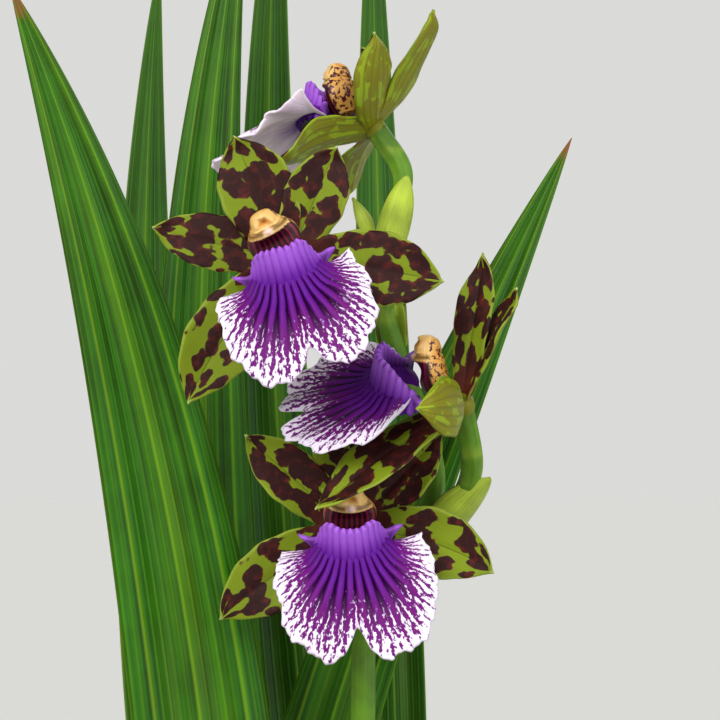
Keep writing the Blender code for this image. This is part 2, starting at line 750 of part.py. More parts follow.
def cut_away(target, cuts, cutters):
    group = bpy.data.collections.new(target.name + "_cuts")
    cutters.children.link(group)
    for obj in cuts:
        for owner in list(obj.users_collection):
            owner.objects.unlink(obj)
        group.objects.link(obj)
    cut = target.modifiers.new("cut", "BOOLEAN")
    cut.operation = "DIFFERENCE"
    cut.operand_type = "COLLECTION"
    cut.collection = group
    apply_modifiers(target)
    for obj in cuts:
        bpy.data.objects.remove(obj)
    bpy.data.collections.remove(group)


def add_bark(collection, cutters, finish):
    """The bark mix: a plug that fills the pot, chips out of its top, and holes for what grows in it."""
    chance = random.Random(BARK_CHIP_SEED)
    rim_low = POT_HEIGHT - POT_RIM_HEIGHT
    slope = (POT_TOP_RADIUS - POT_RIM_STEP - POT_FOOT_RADIUS) / rim_low
    foot_radius = POT_FOOT_RADIUS - POT_WALL - 2 * GAP
    edge_radius = foot_radius + slope * rim_low
    profile = [(0.0, BARK_TOP + BARK_DOME)]
    for share in BARK_ROW_SHARES:
        r = edge_radius * share
        profile.append((r, bark_height(r, 0.0)))
    profile += [(edge_radius, rim_low), (foot_radius, POT_FLOOR + GAP), (0.0, POT_FLOOR + GAP)]
    bark = turned("bark_mix", profile, BARK_STEPS, collection, finish)
    chips = []
    for k in range(BARK_CHIPS):
        r = edge_radius * BARK_CHIP_SPREAD * math.sqrt((k + 0.5) / BARK_CHIPS)
        angle = k * math.radians(BARK_CHIP_TURN)
        x, y = r * math.cos(angle), r * math.sin(angle)
        size = chance.uniform(*BARK_CHIP_LENGTHS)
        lean = [chance.uniform(-BARK_CHIP_LEAN, BARK_CHIP_LEAN) for _ in range(2)]
        bpy.ops.mesh.primitive_cube_add(
            size=MM,
            location=(x * MM, y * MM, (bark_height(x, y) + BARK_CHIP_LIFT) * MM),
            rotation=(*lean, chance.uniform(0, 3.1)),
            scale=(size, size * chance.uniform(0.5, 0.8), chance.uniform(*BARK_CHIP_THICKNESSES)),
        )
        chips.append(bpy.context.object)
    join(bark, chips)
    holes = []
    for _, (x, y), _, radius in BULBS:
        holes.append((x, y, radius + GAP, BULB_SINK + GAP))
    holes.append((SCAPE[0][0], SCAPE[0][1], SCAPE_FOOT_RADIUS + SCAPE_HOLE_GAP, SCAPE_HOLE_DEPTH))
    cuts = []
    for x, y, radius, depth in holes:
        bpy.ops.mesh.primitive_cylinder_add(
            vertices=BARK_HOLE_SIDES,
            radius=radius * MM,
            depth=(depth + BARK_CUT_RISE) * MM,
            location=(x * MM, y * MM, (bark_height(x, y) + (BARK_CUT_RISE - depth) / 2) * MM),
        )
        cuts.append(bpy.context.object)
    cut_away(bark, cuts, cutters)


def build():
    clear_scene()
    orchid = collection_named("zygopetalum_orchid")
    cutters = collection_named("cutters")
    clay = material("pot_clay", (0.52, 0.25, 0.15), 0.85)
    bark = material("bark", (0.20, 0.11, 0.06), 0.9)
    bulb = material("pseudobulb_green", (0.25, 0.38, 0.09), 0.5)
    leaf_green = material("leaf_green", (0.07, 0.26, 0.03), 0.4)
    spike_green = material("spike_green", (0.26, 0.45, 0.05), 0.4)
    tepal_green = material("tepal_green_and_maroon", (0.22, 0.20, 0.04), 0.45)
    violet = material("lip_violet", (0.45, 0.12, 0.60), 0.5)
    cream = material("column_cream", (0.80, 0.60, 0.32), 0.5)
    add_pot(orchid, cutters, clay)
    add_bark(orchid, cutters, bark)
    add_bulbs(orchid, bulb)
    add_leaves(orchid, leaf_green)
    add_spike(orchid, spike_green)
    add_blooms(orchid, tepal_green, violet, cream)


build()
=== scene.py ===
"""The looks of a potted zygopetalum orchid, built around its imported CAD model.

Lengths are real sizes in millimetres, and MM turns them into metres. The lengths in the settings are in
metres, as Blender shows them.
"""

import math
import random

import bmesh
import bpy
import numpy as np
from bpy.props import FloatProperty, FloatVectorProperty, IntProperty, PointerProperty
from mathutils import Matrix, Vector, noise


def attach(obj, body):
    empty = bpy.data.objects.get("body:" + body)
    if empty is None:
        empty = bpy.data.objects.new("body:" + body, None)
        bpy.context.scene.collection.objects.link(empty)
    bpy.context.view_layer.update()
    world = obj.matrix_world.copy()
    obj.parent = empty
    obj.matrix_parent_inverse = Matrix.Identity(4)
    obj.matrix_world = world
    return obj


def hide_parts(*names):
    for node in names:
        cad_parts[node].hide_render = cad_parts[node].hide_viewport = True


bl_info = {
    "name": "Zygopetalum Orchid",
    "version": (1, 0, 0),
    "blender": (4, 5, 0),
    "location": "3D View > Sidebar > Orchid",
    "description": "Builds a potted zygopetalum orchid in flower",
    "category": "Object",
}

MM = 0.001
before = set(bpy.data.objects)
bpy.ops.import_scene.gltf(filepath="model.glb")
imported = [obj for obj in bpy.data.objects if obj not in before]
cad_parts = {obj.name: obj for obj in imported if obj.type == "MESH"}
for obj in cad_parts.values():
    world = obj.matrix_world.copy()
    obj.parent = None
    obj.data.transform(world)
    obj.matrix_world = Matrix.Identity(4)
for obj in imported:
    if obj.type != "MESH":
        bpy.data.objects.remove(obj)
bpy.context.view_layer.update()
BODY = "root"


def srgb(*channels):
    """A colour given in 0 to 255 screen values, as the linear values that Blender uses."""
    shares = (channel / 255 for channel in channels)
    return tuple(c / 12.92 if c <= 0.04045 else ((c + 0.055) / 1.055) ** 2.4 for c in shares)


def shade(colour, *factors):
    """A colour times one factor, or times one for each channel."""
    factors = factors * 3 if len(factors) == 1 else factors
    return tuple(min(1.0, channel * factor) for channel, factor in zip(colour, factors))


def stained(first, share, second, other_share):
    """A share of one colour and a share of another, added up."""
    return tuple(a * share + b * other_share for a, b in zip(first, second))


def colour_property(label, description, *default):
    return FloatVectorProperty(
        name=label, description=description, subtype="COLOR", size=3, min=0.0, max=1.0, default=srgb(*default)
    )


def length_property(label, description, default):
    return FloatProperty(
        name=label, description=description, unit="LENGTH", precision=4, min=0.0, default=default
    )


class FlowerSettings(bpy.types.PropertyGroup):
    """Sizes and colours of the blooms."""

    tepal_thickness: length_property("Tepal thickness", "Thickness of a sepal or petal", 0.0011)
    lip_thickness: length_property("Lip thickness", "Thickness of the lip's blade", 0.0011)
    tepal_green: colour_property("Tepal green", "Ground colour inside a tepal", 116, 134, 18)
    tepal_back: colour_property("Tepal back", "Colour of a tepal's outside", 138, 156, 20)
    blotch: colour_property("Blotches", "Colour of the large blotches on a tepal", 48, 14, 12)
    lip_white: colour_property("Lip white", "Ground colour of the lip", 238, 226, 244)
    lip_violet: colour_property("Lip violet", "Colour of the lip's streaks", 102, 4, 108)
    lip_back: colour_property("Lip underside", "Colour of the lip's underside", 250, 234, 244)
    crest_violet: colour_property("Crest", "Colour of the horseshoe crest", 112, 28, 164)
    column_cream: colour_property("Column cream", "Colour of the column's cap", 232, 196, 124)
    column_maroon: colour_property("Column maroon", "Colour of the column's underside", 70, 12, 30)


class PlantSettings(bpy.types.PropertyGroup):
    """Sizes and colours of the leaves, stems, bulbs, bark and pot."""

    leaf_thickness: length_property("Leaf thickness", "Thickness of a leaf in its middle", 0.0011)
    leaf_green: colour_property("Leaf green", "Ground colour of a leaf", 38, 94, 3)
    leaf_rib: colour_property("Leaf ribs", "Colour of a leaf's ribs", 128, 168, 18)
    stem_green: colour_property("Stem green", "Colour of the flower spike", 86, 130, 14)
    bract_green: colour_property("Bract green", "Colour of the bracts on the spike", 168, 190, 58)
    bulb_green: colour_property("Bulb green", "Colour of the pseudobulbs", 112, 138, 46)
    husk_brown: colour_property("Husk", "Colour of the dry husks on the bulbs", 168, 130, 84)
    bark_brown: colour_property("Bark", "Colour of the bark chips", 104, 66, 40)
    clay: colour_property("Clay", "Colour of the pot", 178, 100, 66)
    chip_count: IntProperty(name="Bark chips", description="Number of loose chips", default=620, min=0)


class StageSettings(bpy.types.PropertyGroup):
    """The floor, the lights and the camera."""

    floor_colour: colour_property("Floor", "Colour of the floor", 214, 214, 212)
    camera_distance: length_property("Camera distance", "From the camera to the middle of the pot", 0.5417)
    camera_height: length_property("Camera height", "From the floor to the camera", 0.46)
    lens: FloatProperty(name="Focal length", description="In millimetres", default=100.0, min=1.0)
    key_power: FloatProperty(name="Key light", description="From the left, in W/m2", default=3.0, min=0.0)
    fill_power: FloatProperty(name="Fill light", description="From the right, in W/m2", default=1.8, min=0.0)
    rim_power: FloatProperty(name="Rim light", description="From behind, in W/m2", default=0.4, min=0.0)


# Small helpers for shapes


def smoothstep(low, high, value):
    x = min(1.0, max(0.0, (value - low) / (high - low)))
    return x * x * (3 - 2 * x)


def hump(value, centre, width):
    """A smooth bump of height 1 at centre."""
    return math.exp(-(((value - centre) / width) ** 2))


def smooth_route(points, steps):
    """Points along a Catmull-Rom curve through the given ones, steps to each stretch."""
    route = [Vector(p) for p in points]
    padded = [route[0] * 2 - route[1], *route, route[-1] * 2 - route[-2]]
    found = []
    for i in range(1, len(padded) - 2):
        a, b, c, d = padded[i - 1 : i + 3]
        for k in range(steps):
            t = k / steps
            square = (2 * a - 5 * b + 4 * c - d) * t**2
            cube = (3 * b - a - 3 * c + d) * t**3
            found.append(0.5 * (2 * b + (c - a) * t + square + cube))
    found.append(route[-1])
    return found


class Ribbon:
    """The middle line of a blade, a cubic Bezier curve, with its face turned towards a given side."""

    def __init__(self, points, face, turn=0.0):
        self.points = [Vector(p) for p in points]
        self.face = Vector(face).normalized()
        self.turn = math.radians(turn)

    def at(self, t):
        """(place, direction across, direction out of the face) at t from 0 to 1."""
        a, b, c, d = self.points
        u = 1 - t
        place = a * u**3 + b * 3 * u * u * t + c * 3 * u * t * t + d * t**3
        along = ((b - a) * u * u + (c - b) * 2 * u * t + (d - c) * t * t).normalized()
        out = (self.face - along * self.face.dot(along)).normalized()
        across = along.cross(out)
        sine, cosine = math.sin(self.turn * t), math.cos(self.turn * t)
        return place, across * cosine + out * sine, out * cosine - across * sine


def finished(obj, replaced=()):
    """Every piece rides on the one body and may stand for a CAD node."""
    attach(obj, BODY)
    if replaced:
        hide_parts(replaced)
    return obj


def linked(name, mesh):
    obj = bpy.data.objects.new(name, mesh)
    bpy.context.scene.collection.objects.link(obj)
    return obj


def mesh_object(name, points, faces, materials, face_materials=None, lay=None):
    """An object from points in millimetres. lay is a vector for each point that its materials read."""
    mesh = bpy.data.meshes.new(name)
    mesh.from_pydata([tuple(Vector(p) * MM) for p in points], [], faces)
    for finish in materials:
        mesh.materials.append(finish)
    if face_materials is not None:
        mesh.polygons.foreach_set("material_index", face_materials)
    if lay is not None:
        attribute = mesh.attributes.new("lay", "FLOAT_VECTOR", "POINT")
        attribute.data.foreach_set("vector", np.asarray(lay, dtype=np.float32).ravel())
    mesh.shade_smooth()
    mesh.update()
    return linked(name, mesh)


def blade(name, columns, rows, place, thickness, materials, flip=False):
    """A closed blade that thins to its rim. materials are one for its face and one for its back.

    place(across, along) gives a point of its middle surface, for across from -1 to 1 and along from 0 to 1,
    and a value that is kept for the materials.
    """
    middle = np.zeros((rows + 1, columns + 1, 3))
    lay = np.zeros((rows + 1, columns + 1, 3))
    for i in range(rows + 1):
        for k in range(columns + 1):
            s, t = 2 * k / columns - 1, i / rows
            spot, extra = place(s, t)
            middle[i, k] = spot
            lay[i, k] = (s, t, extra)
    normal = np.cross(np.gradient(middle, axis=1), np.gradient(middle, axis=0))
    normal /= np.maximum(np.linalg.norm(normal, axis=2, keepdims=True), 1e-9)
    normal *= -1 if flip else 1
    across = np.linspace(-1, 1, columns + 1)[None, :]
    along = np.linspace(0, 1, rows + 1)[:, None]
    half = (thickness / 2 * np.sqrt(1 - across**8) * np.sqrt(1 - (2 * along - 1) ** 16))[..., None]
    front, back = middle + normal * half, middle - normal * half
    front_index = np.arange(front[..., 0].size).reshape(rows + 1, columns + 1)
    back_index = front_index.copy()
    inside = (slice(1, -1), slice(1, -1))
    back_index[inside] = front_index.size + np.arange((rows - 1) * (columns - 1)).reshape(rows - 1, -1)
    points = np.concatenate([front.reshape(-1, 3), back[inside].reshape(-1, 3)])
    lays = np.concatenate([lay.reshape(-1, 3), lay[inside].reshape(-1, 3)])
    faces, kinds = [], []
    for side, index in enumerate((front_index, back_index)):
        for i in range(rows):
            for k in range(columns):
                quad = [index[i, k], index[i, k + 1], index[i + 1, k + 1], index[i + 1, k]]
                if flip != (side == 1):
                    quad.reverse()
                faces.append([int(n) for n in quad])
                kinds.append(side)
    return mesh_object(name, points, faces, materials, kinds, lays)


def ring_faces(rings, sides, first=0):
    """The quads between rings of points that follow each other."""
    faces = []
    for i in range(rings):
        for k in range(sides):
            a, b = first + i * sides + k, first + i * sides + (k + 1) % sides
            faces.append([a, b, b + sides, a + sides])
    return faces


def tube(name, route, section, sides, materials):
    """A closed tube along a route. section(share along, angle) gives its radius there."""
    route = [Vector(p) for p in route]
    last = len(route) - 1
    reference = Vector((0.0, -1.0, 0.0))
    points, lays = [], []
    for i, spot in enumerate(route):
        along = (route[min(last, i + 1)] - route[max(0, i - 1)]).normalized()
        reference = (reference - along * reference.dot(along)).normalized()
        beside = along.cross(reference)
        for k in range(sides):
            angle = 2 * math.pi * k / sides
            step = reference * math.cos(angle) + beside * math.sin(angle)
            points.append(spot + step * section(i / last, angle))
            lays.append((math.cos(angle), i / last, math.sin(angle)))
    faces = ring_faces(last, sides)
    for ring, spot in ((0, route[0]), (last, route[-1])):
        points.append(spot)
        lays.append((0.0, ring / last, 0.0))
        for k in range(sides):
            a, b = ring * sides + k, ring * sides + (k + 1) % sides
            faces.append([b, a, len(points) - 1] if ring == 0 else [a, b, len(points) - 1])
    return mesh_object(name, points, faces, materials, None, lays)


def turned(name, profile, steps, materials, shape=None):
    """A solid of revolution from (radius, height) pairs that close on the axis at both ends.

    shape(angle, radius, height) may move a point's radius.
    """
    inner = profile[1:-1]
    count = len(inner)
    points, lays, faces = [], [], []
    for k in range(steps):
        angle = 2 * math.pi * k / steps
        for row, (radius, height) in enumerate(inner):
            r = shape(angle, radius, height) if shape else radius
            points.append((r * math.cos(angle), r * math.sin(angle), height))
            lays.append((math.cos(angle), row / (count - 1), math.sin(angle)))
        here, there = k * count, (k + 1) % steps * count
        faces += [[here + j, here + j + 1, there + j + 1, there + j] for j in range(count - 1)]
    for (_, height), row in ((profile[0], 0), (profile[-1], count - 1)):
        points.append((0.0, 0.0, height))
        lays.append((0.0, row / (count - 1), 0.0))
        for k in range(steps):
            a, b = k * count + row, (k + 1) % steps * count + row
            faces.append([a, b, len(points) - 1] if row == 0 else [b, a, len(points) - 1])
    return mesh_object(name, points, faces, materials, None, lays)


def joined(name, objects):
    """Several meshes as one piece."""
    bpy.ops.object.select_all(action="DESELECT")
    for obj in objects:
        obj.select_set(True)
    bpy.context.view_layer.objects.active = objects[0]
    bpy.ops.object.join()
    objects[0].name = objects[0].data.name = name
    return objects[0]


# Materials


class Wire:
    """What a node puts out. Arithmetic with it adds Math nodes."""

    def __init__(self, steps, socket):
        self.steps, self.socket = steps, socket

    def __add__(self, other):
        return self.steps.math("ADD", self, other)

    def __sub__(self, other):
        return self.steps.math("SUBTRACT", self, other)

    def __rsub__(self, other):
        return self.steps.math("SUBTRACT", other, self)

    def __mul__(self, other):
        return self.steps.math("MULTIPLY", self, other)

    def __abs__(self):
        return self.steps.math("ABSOLUTE", self)

    def sine(self):
        return self.steps.math("SINE", self)

    def cosine(self):
        return self.steps.math("COSINE", self)

    def ramp(self, low, high, start=0.0, end=1.0):
        """A smooth step from start to end, where this goes from low to high."""
        values = {"Value": self, "From Min": low, "From Max": high, "To Min": start, "To Max": end}
        return self.steps.out("MapRange", values, interpolation_type="SMOOTHSTEP")

    def near(self, centre, width):
        """A narrow bump of height 1 round centre."""
        return abs(self - centre).ramp(width, 0.0)


class Steps:
    """Adds nodes to a tree and joins them, so that a material reads as a list of steps."""

    def __init__(self, tree):
        self.tree = tree

    def out(self, kind, inputs=None, which=0, **settings):
        """One output of a new node."""
        node = self.tree.nodes.new("ShaderNode" + kind)
        for name, value in settings.items():
            setattr(node, name, value)
        for name, value in (inputs or {}).items():
            self.feed(node.inputs[name], value)
        return Wire(self, node.outputs[which])

    def feed(self, socket, value):
        if isinstance(value, Wire):
            self.tree.links.new(value.socket, socket)
        elif socket.type == "RGBA" and len(value) == 3:
            socket.default_value = (*value, 1.0)
        else:
            socket.default_value = value

    def math(self, operation, a, b=0.0):
        return self.out("Math", {0: a, 1: b}, operation=operation)

    def vectors(self, operation, a, b):
        return self.out("VectorMath", {0: a, 1: b}, operation=operation)

    def vector(self, x, y, z):
        return self.out("CombineXYZ", {0: x, 1: y, 2: z})

    def mix(self, share, a, b):
        """A mix of two colours."""
        return self.out("Mix", {0: share, 6: a, 7: b}, 2, data_type="RGBA")

    def blend(self, share, a, b):
        """A mix of two numbers."""
        return self.out("Mix", {0: share, 2: a, 3: b}, data_type="FLOAT")

    def noise(self, vector, scale, detail=3.0, roughness=0.55, which=0):
        values = {"Vector": vector, "Scale": scale, "Detail": detail, "Roughness": roughness}
        return self.out("TexNoise", values, which)

    def effect(self, name, *values):
        """The outputs of a shared effect, fed with values. Its node group is made when it is first used."""
        inputs, outputs, build = EFFECTS[name]
        tree = bpy.data.node_groups.get(name)
        if tree is None:
            tree = bpy.data.node_groups.new(name, "ShaderNodeTree")
            for label in inputs:
                kind = "NodeSocketVector" if label == "Vector" else "NodeSocketFloat"
                tree.interface.new_socket(label, in_out="INPUT", socket_type=kind)
            for label in outputs:
                tree.interface.new_socket(label, in_out="OUTPUT", socket_type="NodeSocketFloat")
            inner = Steps(tree)
            given = tree.nodes.new("NodeGroupInput").outputs
            result = tree.nodes.new("NodeGroupOutput").inputs
            found = build(inner, *(Wire(inner, given[label]) for label in inputs))
            for label, wire in zip(outputs, found):
                inner.feed(result[label], wire)
        node = self.tree.nodes.new("ShaderNodeGroup")
        node.node_tree = tree
        for label, value in zip(inputs, values):
            self.feed(node.inputs[label], value)
        return [Wire(self, socket) for socket in node.outputs]


def tissue(steps, vector, across, along, fibres):
    """Living tissue up close: fine cells, faint fibres along the blade and a slow change of tone."""
    cells = steps.out("TexVoronoi", {"Vector": vector, "Scale": 2600.0})
    fibre = steps.noise(steps.vector(across * fibres, along, 0.0), 2.2)
    slow = steps.noise(vector, 90.0, 2.0)
    return fibre * 0.5 + slow * 0.5, cells * 0.35 + fibre * 0.65


def blotches(steps, vector, channel, margin):
    """Large rounded blotches that run together, parted by wandering channels.

    vector counts blotches, channel is how wide the ground shows between them and margin adds to that.
    """
    wander = steps.noise(vector, 1.4, 2.0, 0.5, which=1)
    bent = steps.vectors("MULTIPLY", steps.vectors("SUBTRACT", wander, (0.5, 0.5, 0.5)), (0.75, 0.75, 0.0))
    moved = steps.vectors("ADD", vector, bent)
    shape = {"feature": "SMOOTH_F1", "voronoi_dimensions": "2D"}
    blobs = steps.out("TexVoronoi", {"Vector": moved, "Scale": 1.0, "Smoothness": 0.3}, **shape)
    room = (steps.noise(vector, 1.15, 1.2) - 0.5) * -0.8
    depth = 0.66 - (channel * 1.6 + room + margin) - blobs
    return depth.ramp(-0.025, 0.04), depth.ramp(0.0, 0.25)


def streaks(steps, vector, turn, reach, lines, fill):
    """Broken streaks that fan out from a point: turn in radians, reach in centimetres, fill how dense."""
    sway = steps.noise(vector, 260.0) * 12.0
    wave = (turn * lines + sway).sine()
    run = steps.vector(turn * (lines * 0.55), reach * 6.5, lines)
    broken = (steps.noise(run, 1.0, 3.0, 0.6) - 0.5) * 8.4
    return ((wave * 0.85 + broken + fill).ramp(-0.28, 0.28),)


def speckle(steps, vector, coarse, fine):
    """Grains of two sizes, for bark and clay."""
    large = steps.noise(vector, coarse, 4.0, 0.6)
    small = steps.noise(vector, fine, 3.0, 0.65)
    return large * 0.65 + small * 0.35, large * 0.4 + small * 0.6


# Each shared effect: its inputs, its outputs and what makes it
EFFECTS = {
    "Tissue": (("Vector", "Across", "Along", "Fibres"), ("Tone", "Height"), tissue),
    "Blotches": (("Vector", "Channel", "Margin"), ("Mask", "Core"), blotches),
    "Streaks": (("Vector", "Turn", "Reach", "Lines", "Fill"), ("Mask",), streaks),
    "Speckle": (("Vector", "Coarse", "Fine"), ("Tone", "Height"), speckle),
}


class Finish(Steps):
    """A Principled material in the making. place is the point's own place, in metres."""

    def __init__(self, name):
        self.material = bpy.data.materials.new(name)
        self.material.use_nodes = True
        super().__init__(self.material.node_tree)
        self.place = self.out("TexCoord", which="Object")

    def parts(self, vector):
        """A vector's three numbers."""
        node = self.out("SeparateXYZ", {0: vector}).socket.node
        return [Wire(self, socket) for socket in node.outputs]

    def lay(self):
        """The three values that the mesh keeps for its materials."""
        return self.parts(self.out("Attribute", which="Vector", attribute_name="lay"))

    def tissue(self, across, along, fibres=60.0):
        """The shared tissue's tone and height."""
        return self.effect("Tissue", self.place, across, along, fibres)

    def tones(self, share, colour, dark, light):
        """A colour between a darker and a lighter tone of itself."""
        return self.mix(share, shade(colour, dark), shade(colour, light))

    def done(self, colour, roughness, specular, bump=None, glow=(0.0, 0.001)):
        """The material. bump is (height, strength, distance), glow its subsurface (weight, scale)."""
        inputs = self.tree.nodes["Principled BSDF"].inputs
        self.feed(inputs["Base Color"], colour)
        self.feed(inputs["Roughness"], roughness)
        inputs["Specular IOR Level"].default_value = specular
        inputs["Subsurface Weight"].default_value, inputs["Subsurface Scale"].default_value = glow
        if bump:
            relief = self.out("Bump", dict(zip(("Height", "Strength", "Distance"), bump)))
            self.feed(inputs["Normal"], relief)
        return self.material


BLOTCHES_ACROSS = 2.0
BLOTCHES_ALONG = 6.8
# How far a tepal's seed moves its blotches, so that no two tepals have the same ones
BLOTCH_SHIFT = (7.3, 3.1, 3.7)


def tepal_pattern(finish):
    """The blotches of a tepal, alike on its face and its back: (mask, core, across, along).

    The third value of lay holds a seed in its whole part, and the channels' width in the rest.
    """
    across, along, marks = finish.lay()
    seed, channel = finish.math("FLOOR", marks), finish.math("FRACT", marks)
    beside, onward, apart = (seed * shift for shift in BLOTCH_SHIFT)
    cells = finish.vector(across * BLOTCHES_ACROSS + beside, along * BLOTCHES_ALONG + onward, apart)
    rim = finish.math("POWER", abs(across), 14.0) * 0.34
    ends = along.ramp(0.93, 1.0, 0.0, 0.35) + along.ramp(0.22, 0.06, 0.0, -0.5)
    return *finish.effect("Blotches", cells, channel, rim + ends), across, along


def tepal_face(look):
    """A tepal's inside: green ground, maroon blotches that run together at its foot, and a green margin."""
    finish = Finish("tepal_inside")
    mask, core, across, along = tepal_pattern(finish)
    tone, cells = finish.tissue(across, along)
    ground = finish.tones(tone, look.tepal_green, 0.6, 1.3)
    edged = finish.mix(abs(across).ramp(0.9, 1.0, 0.0, 0.45), ground, srgb(164, 180, 80))
    tip = finish.mix(along.ramp(0.96, 1.0), edged, srgb(180, 190, 116))
    mottle = finish.noise(finish.place, 420.0, 3.0, 0.6).ramp(0.46, 0.7)
    rosy = finish.mix(mottle, look.blotch, shade(look.blotch, 3.6, 2.6, 2.0))
    dark = finish.mix(core * 0.45, rosy, shade(look.blotch, 0.45))
    foot = finish.mix(along.ramp(0.3, 0.05), dark, shade(look.blotch, 2.6, 2.6, 1.6))
    vein = abs(across).ramp(0.05, 0.0) * 0.5
    colour = finish.mix(vein, finish.mix(mask, tip, foot), shade(look.blotch, 0.4))
    bump = (cells * 0.6 + mask * 0.25, 0.5, 0.0004)
    return finish.done(colour, cells.ramp(0.2, 0.8, 0.44, 0.58), 0.16, bump, (0.03, 0.001))


def tepal_back(look):
    """A tepal's outside: green with faint stripes, and the blotches only shining through."""
    finish = Finish("tepal_outside")
    mask, _, across, along = tepal_pattern(finish)
    tone, cells = finish.tissue(across, along, 9.0)
    stripes = (across * 20.0 + tone * 2.0).sine().ramp(0.2, 1.0)
    ground = finish.tones(tone, look.tepal_back, 0.6, 1.4)
    veined = finish.mix(stripes * 0.5, ground, srgb(74, 84, 20))
    brown = stained(look.tepal_back, 0.4, srgb(98, 40, 8), 0.6)
    colour = finish.mix(mask * tone.ramp(0.3, 0.7, 0.45, 0.95), veined, brown)
    return finish.done(colour, 0.46, 0.22, (cells + stripes, 0.35, 0.0003), (0.05, 0.001))


LIP_STREAK_LINES = 52.0
LIP_FRINGE_LINES = 84.0
LIP_FURROWS = 40.0
# How densely the streaks cover the lip at shares of its length
LIP_COVER = ((0.0, 1.0), (0.36, 0.96), (0.5, 0.88), (0.66, 0.69), (0.84, 0.53), (0.94, 0.42), (1.0, 0.18))


def lip_face(look):
    """The lip's upper side: dark furrows at the crest, violet round them, then violet streaks on white."""
    finish = Finish("lip_upper_side")
    across, along, reach = finish.lay()
    inside = 1.0 - along
    turn = across * (inside * inside * math.radians(LIP_BASE_SPREAD) + math.radians(LIP_HALF_ANGLE))
    tone, cells = finish.tissue(across, along)
    cover = finish.out("FloatCurve", {1: along})
    curve = cover.socket.node.mapping.curves[0]
    while len(curve.points) < len(LIP_COVER):
        curve.points.new(0.5, 0.5)
    for point, spot in zip(curve.points, LIP_COVER):
        point.location = spot
    dense = abs(across) * -0.7 + (cover * 5.6 - 2.6)
    inner, outer = (
        finish.effect("Streaks", finish.place, turn, reach, lines, dense)[0]
        for lines in (LIP_STREAK_LINES, LIP_FRINGE_LINES)
    )
    mask = finish.blend((finish.noise(finish.place, 160.0) * 0.6 + along).ramp(0.78, 0.98), inner, outer)
    sway = (finish.noise(finish.place, 150.0, 2.0) - 0.5) * 2.0
    lines = (turn * LIP_FURROWS + sway).cosine().ramp(-0.75, 0.3)
    inward = (finish.noise(finish.place, 200.0) * 0.25 + along).ramp(0.95, 0.6)
    furrow = lines * (inward * abs(across).ramp(0.75, 0.3))
    base = finish.mix(along.ramp(0.7, 0.3), look.lip_violet, shade(look.lip_violet, 0.72, 1.0, 1.5))
    violet = finish.mix(furrow * 0.96, base, shade(look.lip_violet, 0.12))
    lilac = finish.mix(along.ramp(0.78, 0.4), look.lip_white, srgb(158, 104, 208))
    soft = finish.mix(tone.ramp(0.3, 0.75), shade(look.lip_white, 0.93), lilac)
    colour = finish.mix(mask, finish.mix(along.ramp(0.6, 0.8), lilac, soft), violet)
    return finish.done(colour, 0.55, 0.18, (cells * 0.6 + furrow * -1.2, 0.45, 0.0005), (0.03, 0.001))


def lip_back(look):
    """The lip's underside: pale and faintly veined, violet at its foot."""
    finish = Finish("lip_underside")
    across, along, _ = finish.lay()
    tone, cells = finish.tissue(across, along)
    rosy = stained(look.lip_back, 0.6, look.crest_violet, 0.4)
    pale = finish.mix(tone.ramp(0.35, 0.65), look.lip_back, rosy)
    colour = finish.mix(along.ramp(0.55, 0.12), pale, look.crest_violet)
    return finish.done(colour, 0.5, 0.35, (cells, 0.35, 0.0004), (0.12, 0.002))


def crest_finish(look):
    """The horseshoe crest: lilac on its ribs, a painted highlight of paler lilac on its ears and top, dark
    violet between the ribs and at its foot.
    """
    finish = Finish("lip_crest")
    across, along, ridge = finish.lay()
    tone, cells = finish.tissue(across, along, 40.0)
    # Painted highlight: paler lilac on the crest's top edge and on its ears
    top = (tone * 0.35 + along).ramp(0.5, 1.15)
    high = finish.math("MAXIMUM", top, abs(across).ramp(0.66, 0.96, 0.0, 0.75))
    body = finish.mix(along.ramp(0.1, 0.65), shade(look.lip_violet, 0.56, 0.5, 1.5), look.crest_violet)
    highlighted = finish.mix(high, body, shade(look.crest_violet, 2.2, 9.0, 1.75))
    groove = ridge.ramp(0.85, 0.2) * along.ramp(1.05, 0.2, 0.4, 0.95)
    colour = finish.mix(groove, highlighted, shade(look.lip_violet, 0.2, 0.2, 0.3))
    return finish.done(colour, 0.5, 0.22, (cells, 0.35, 0.0004), (0.03, 0.001))


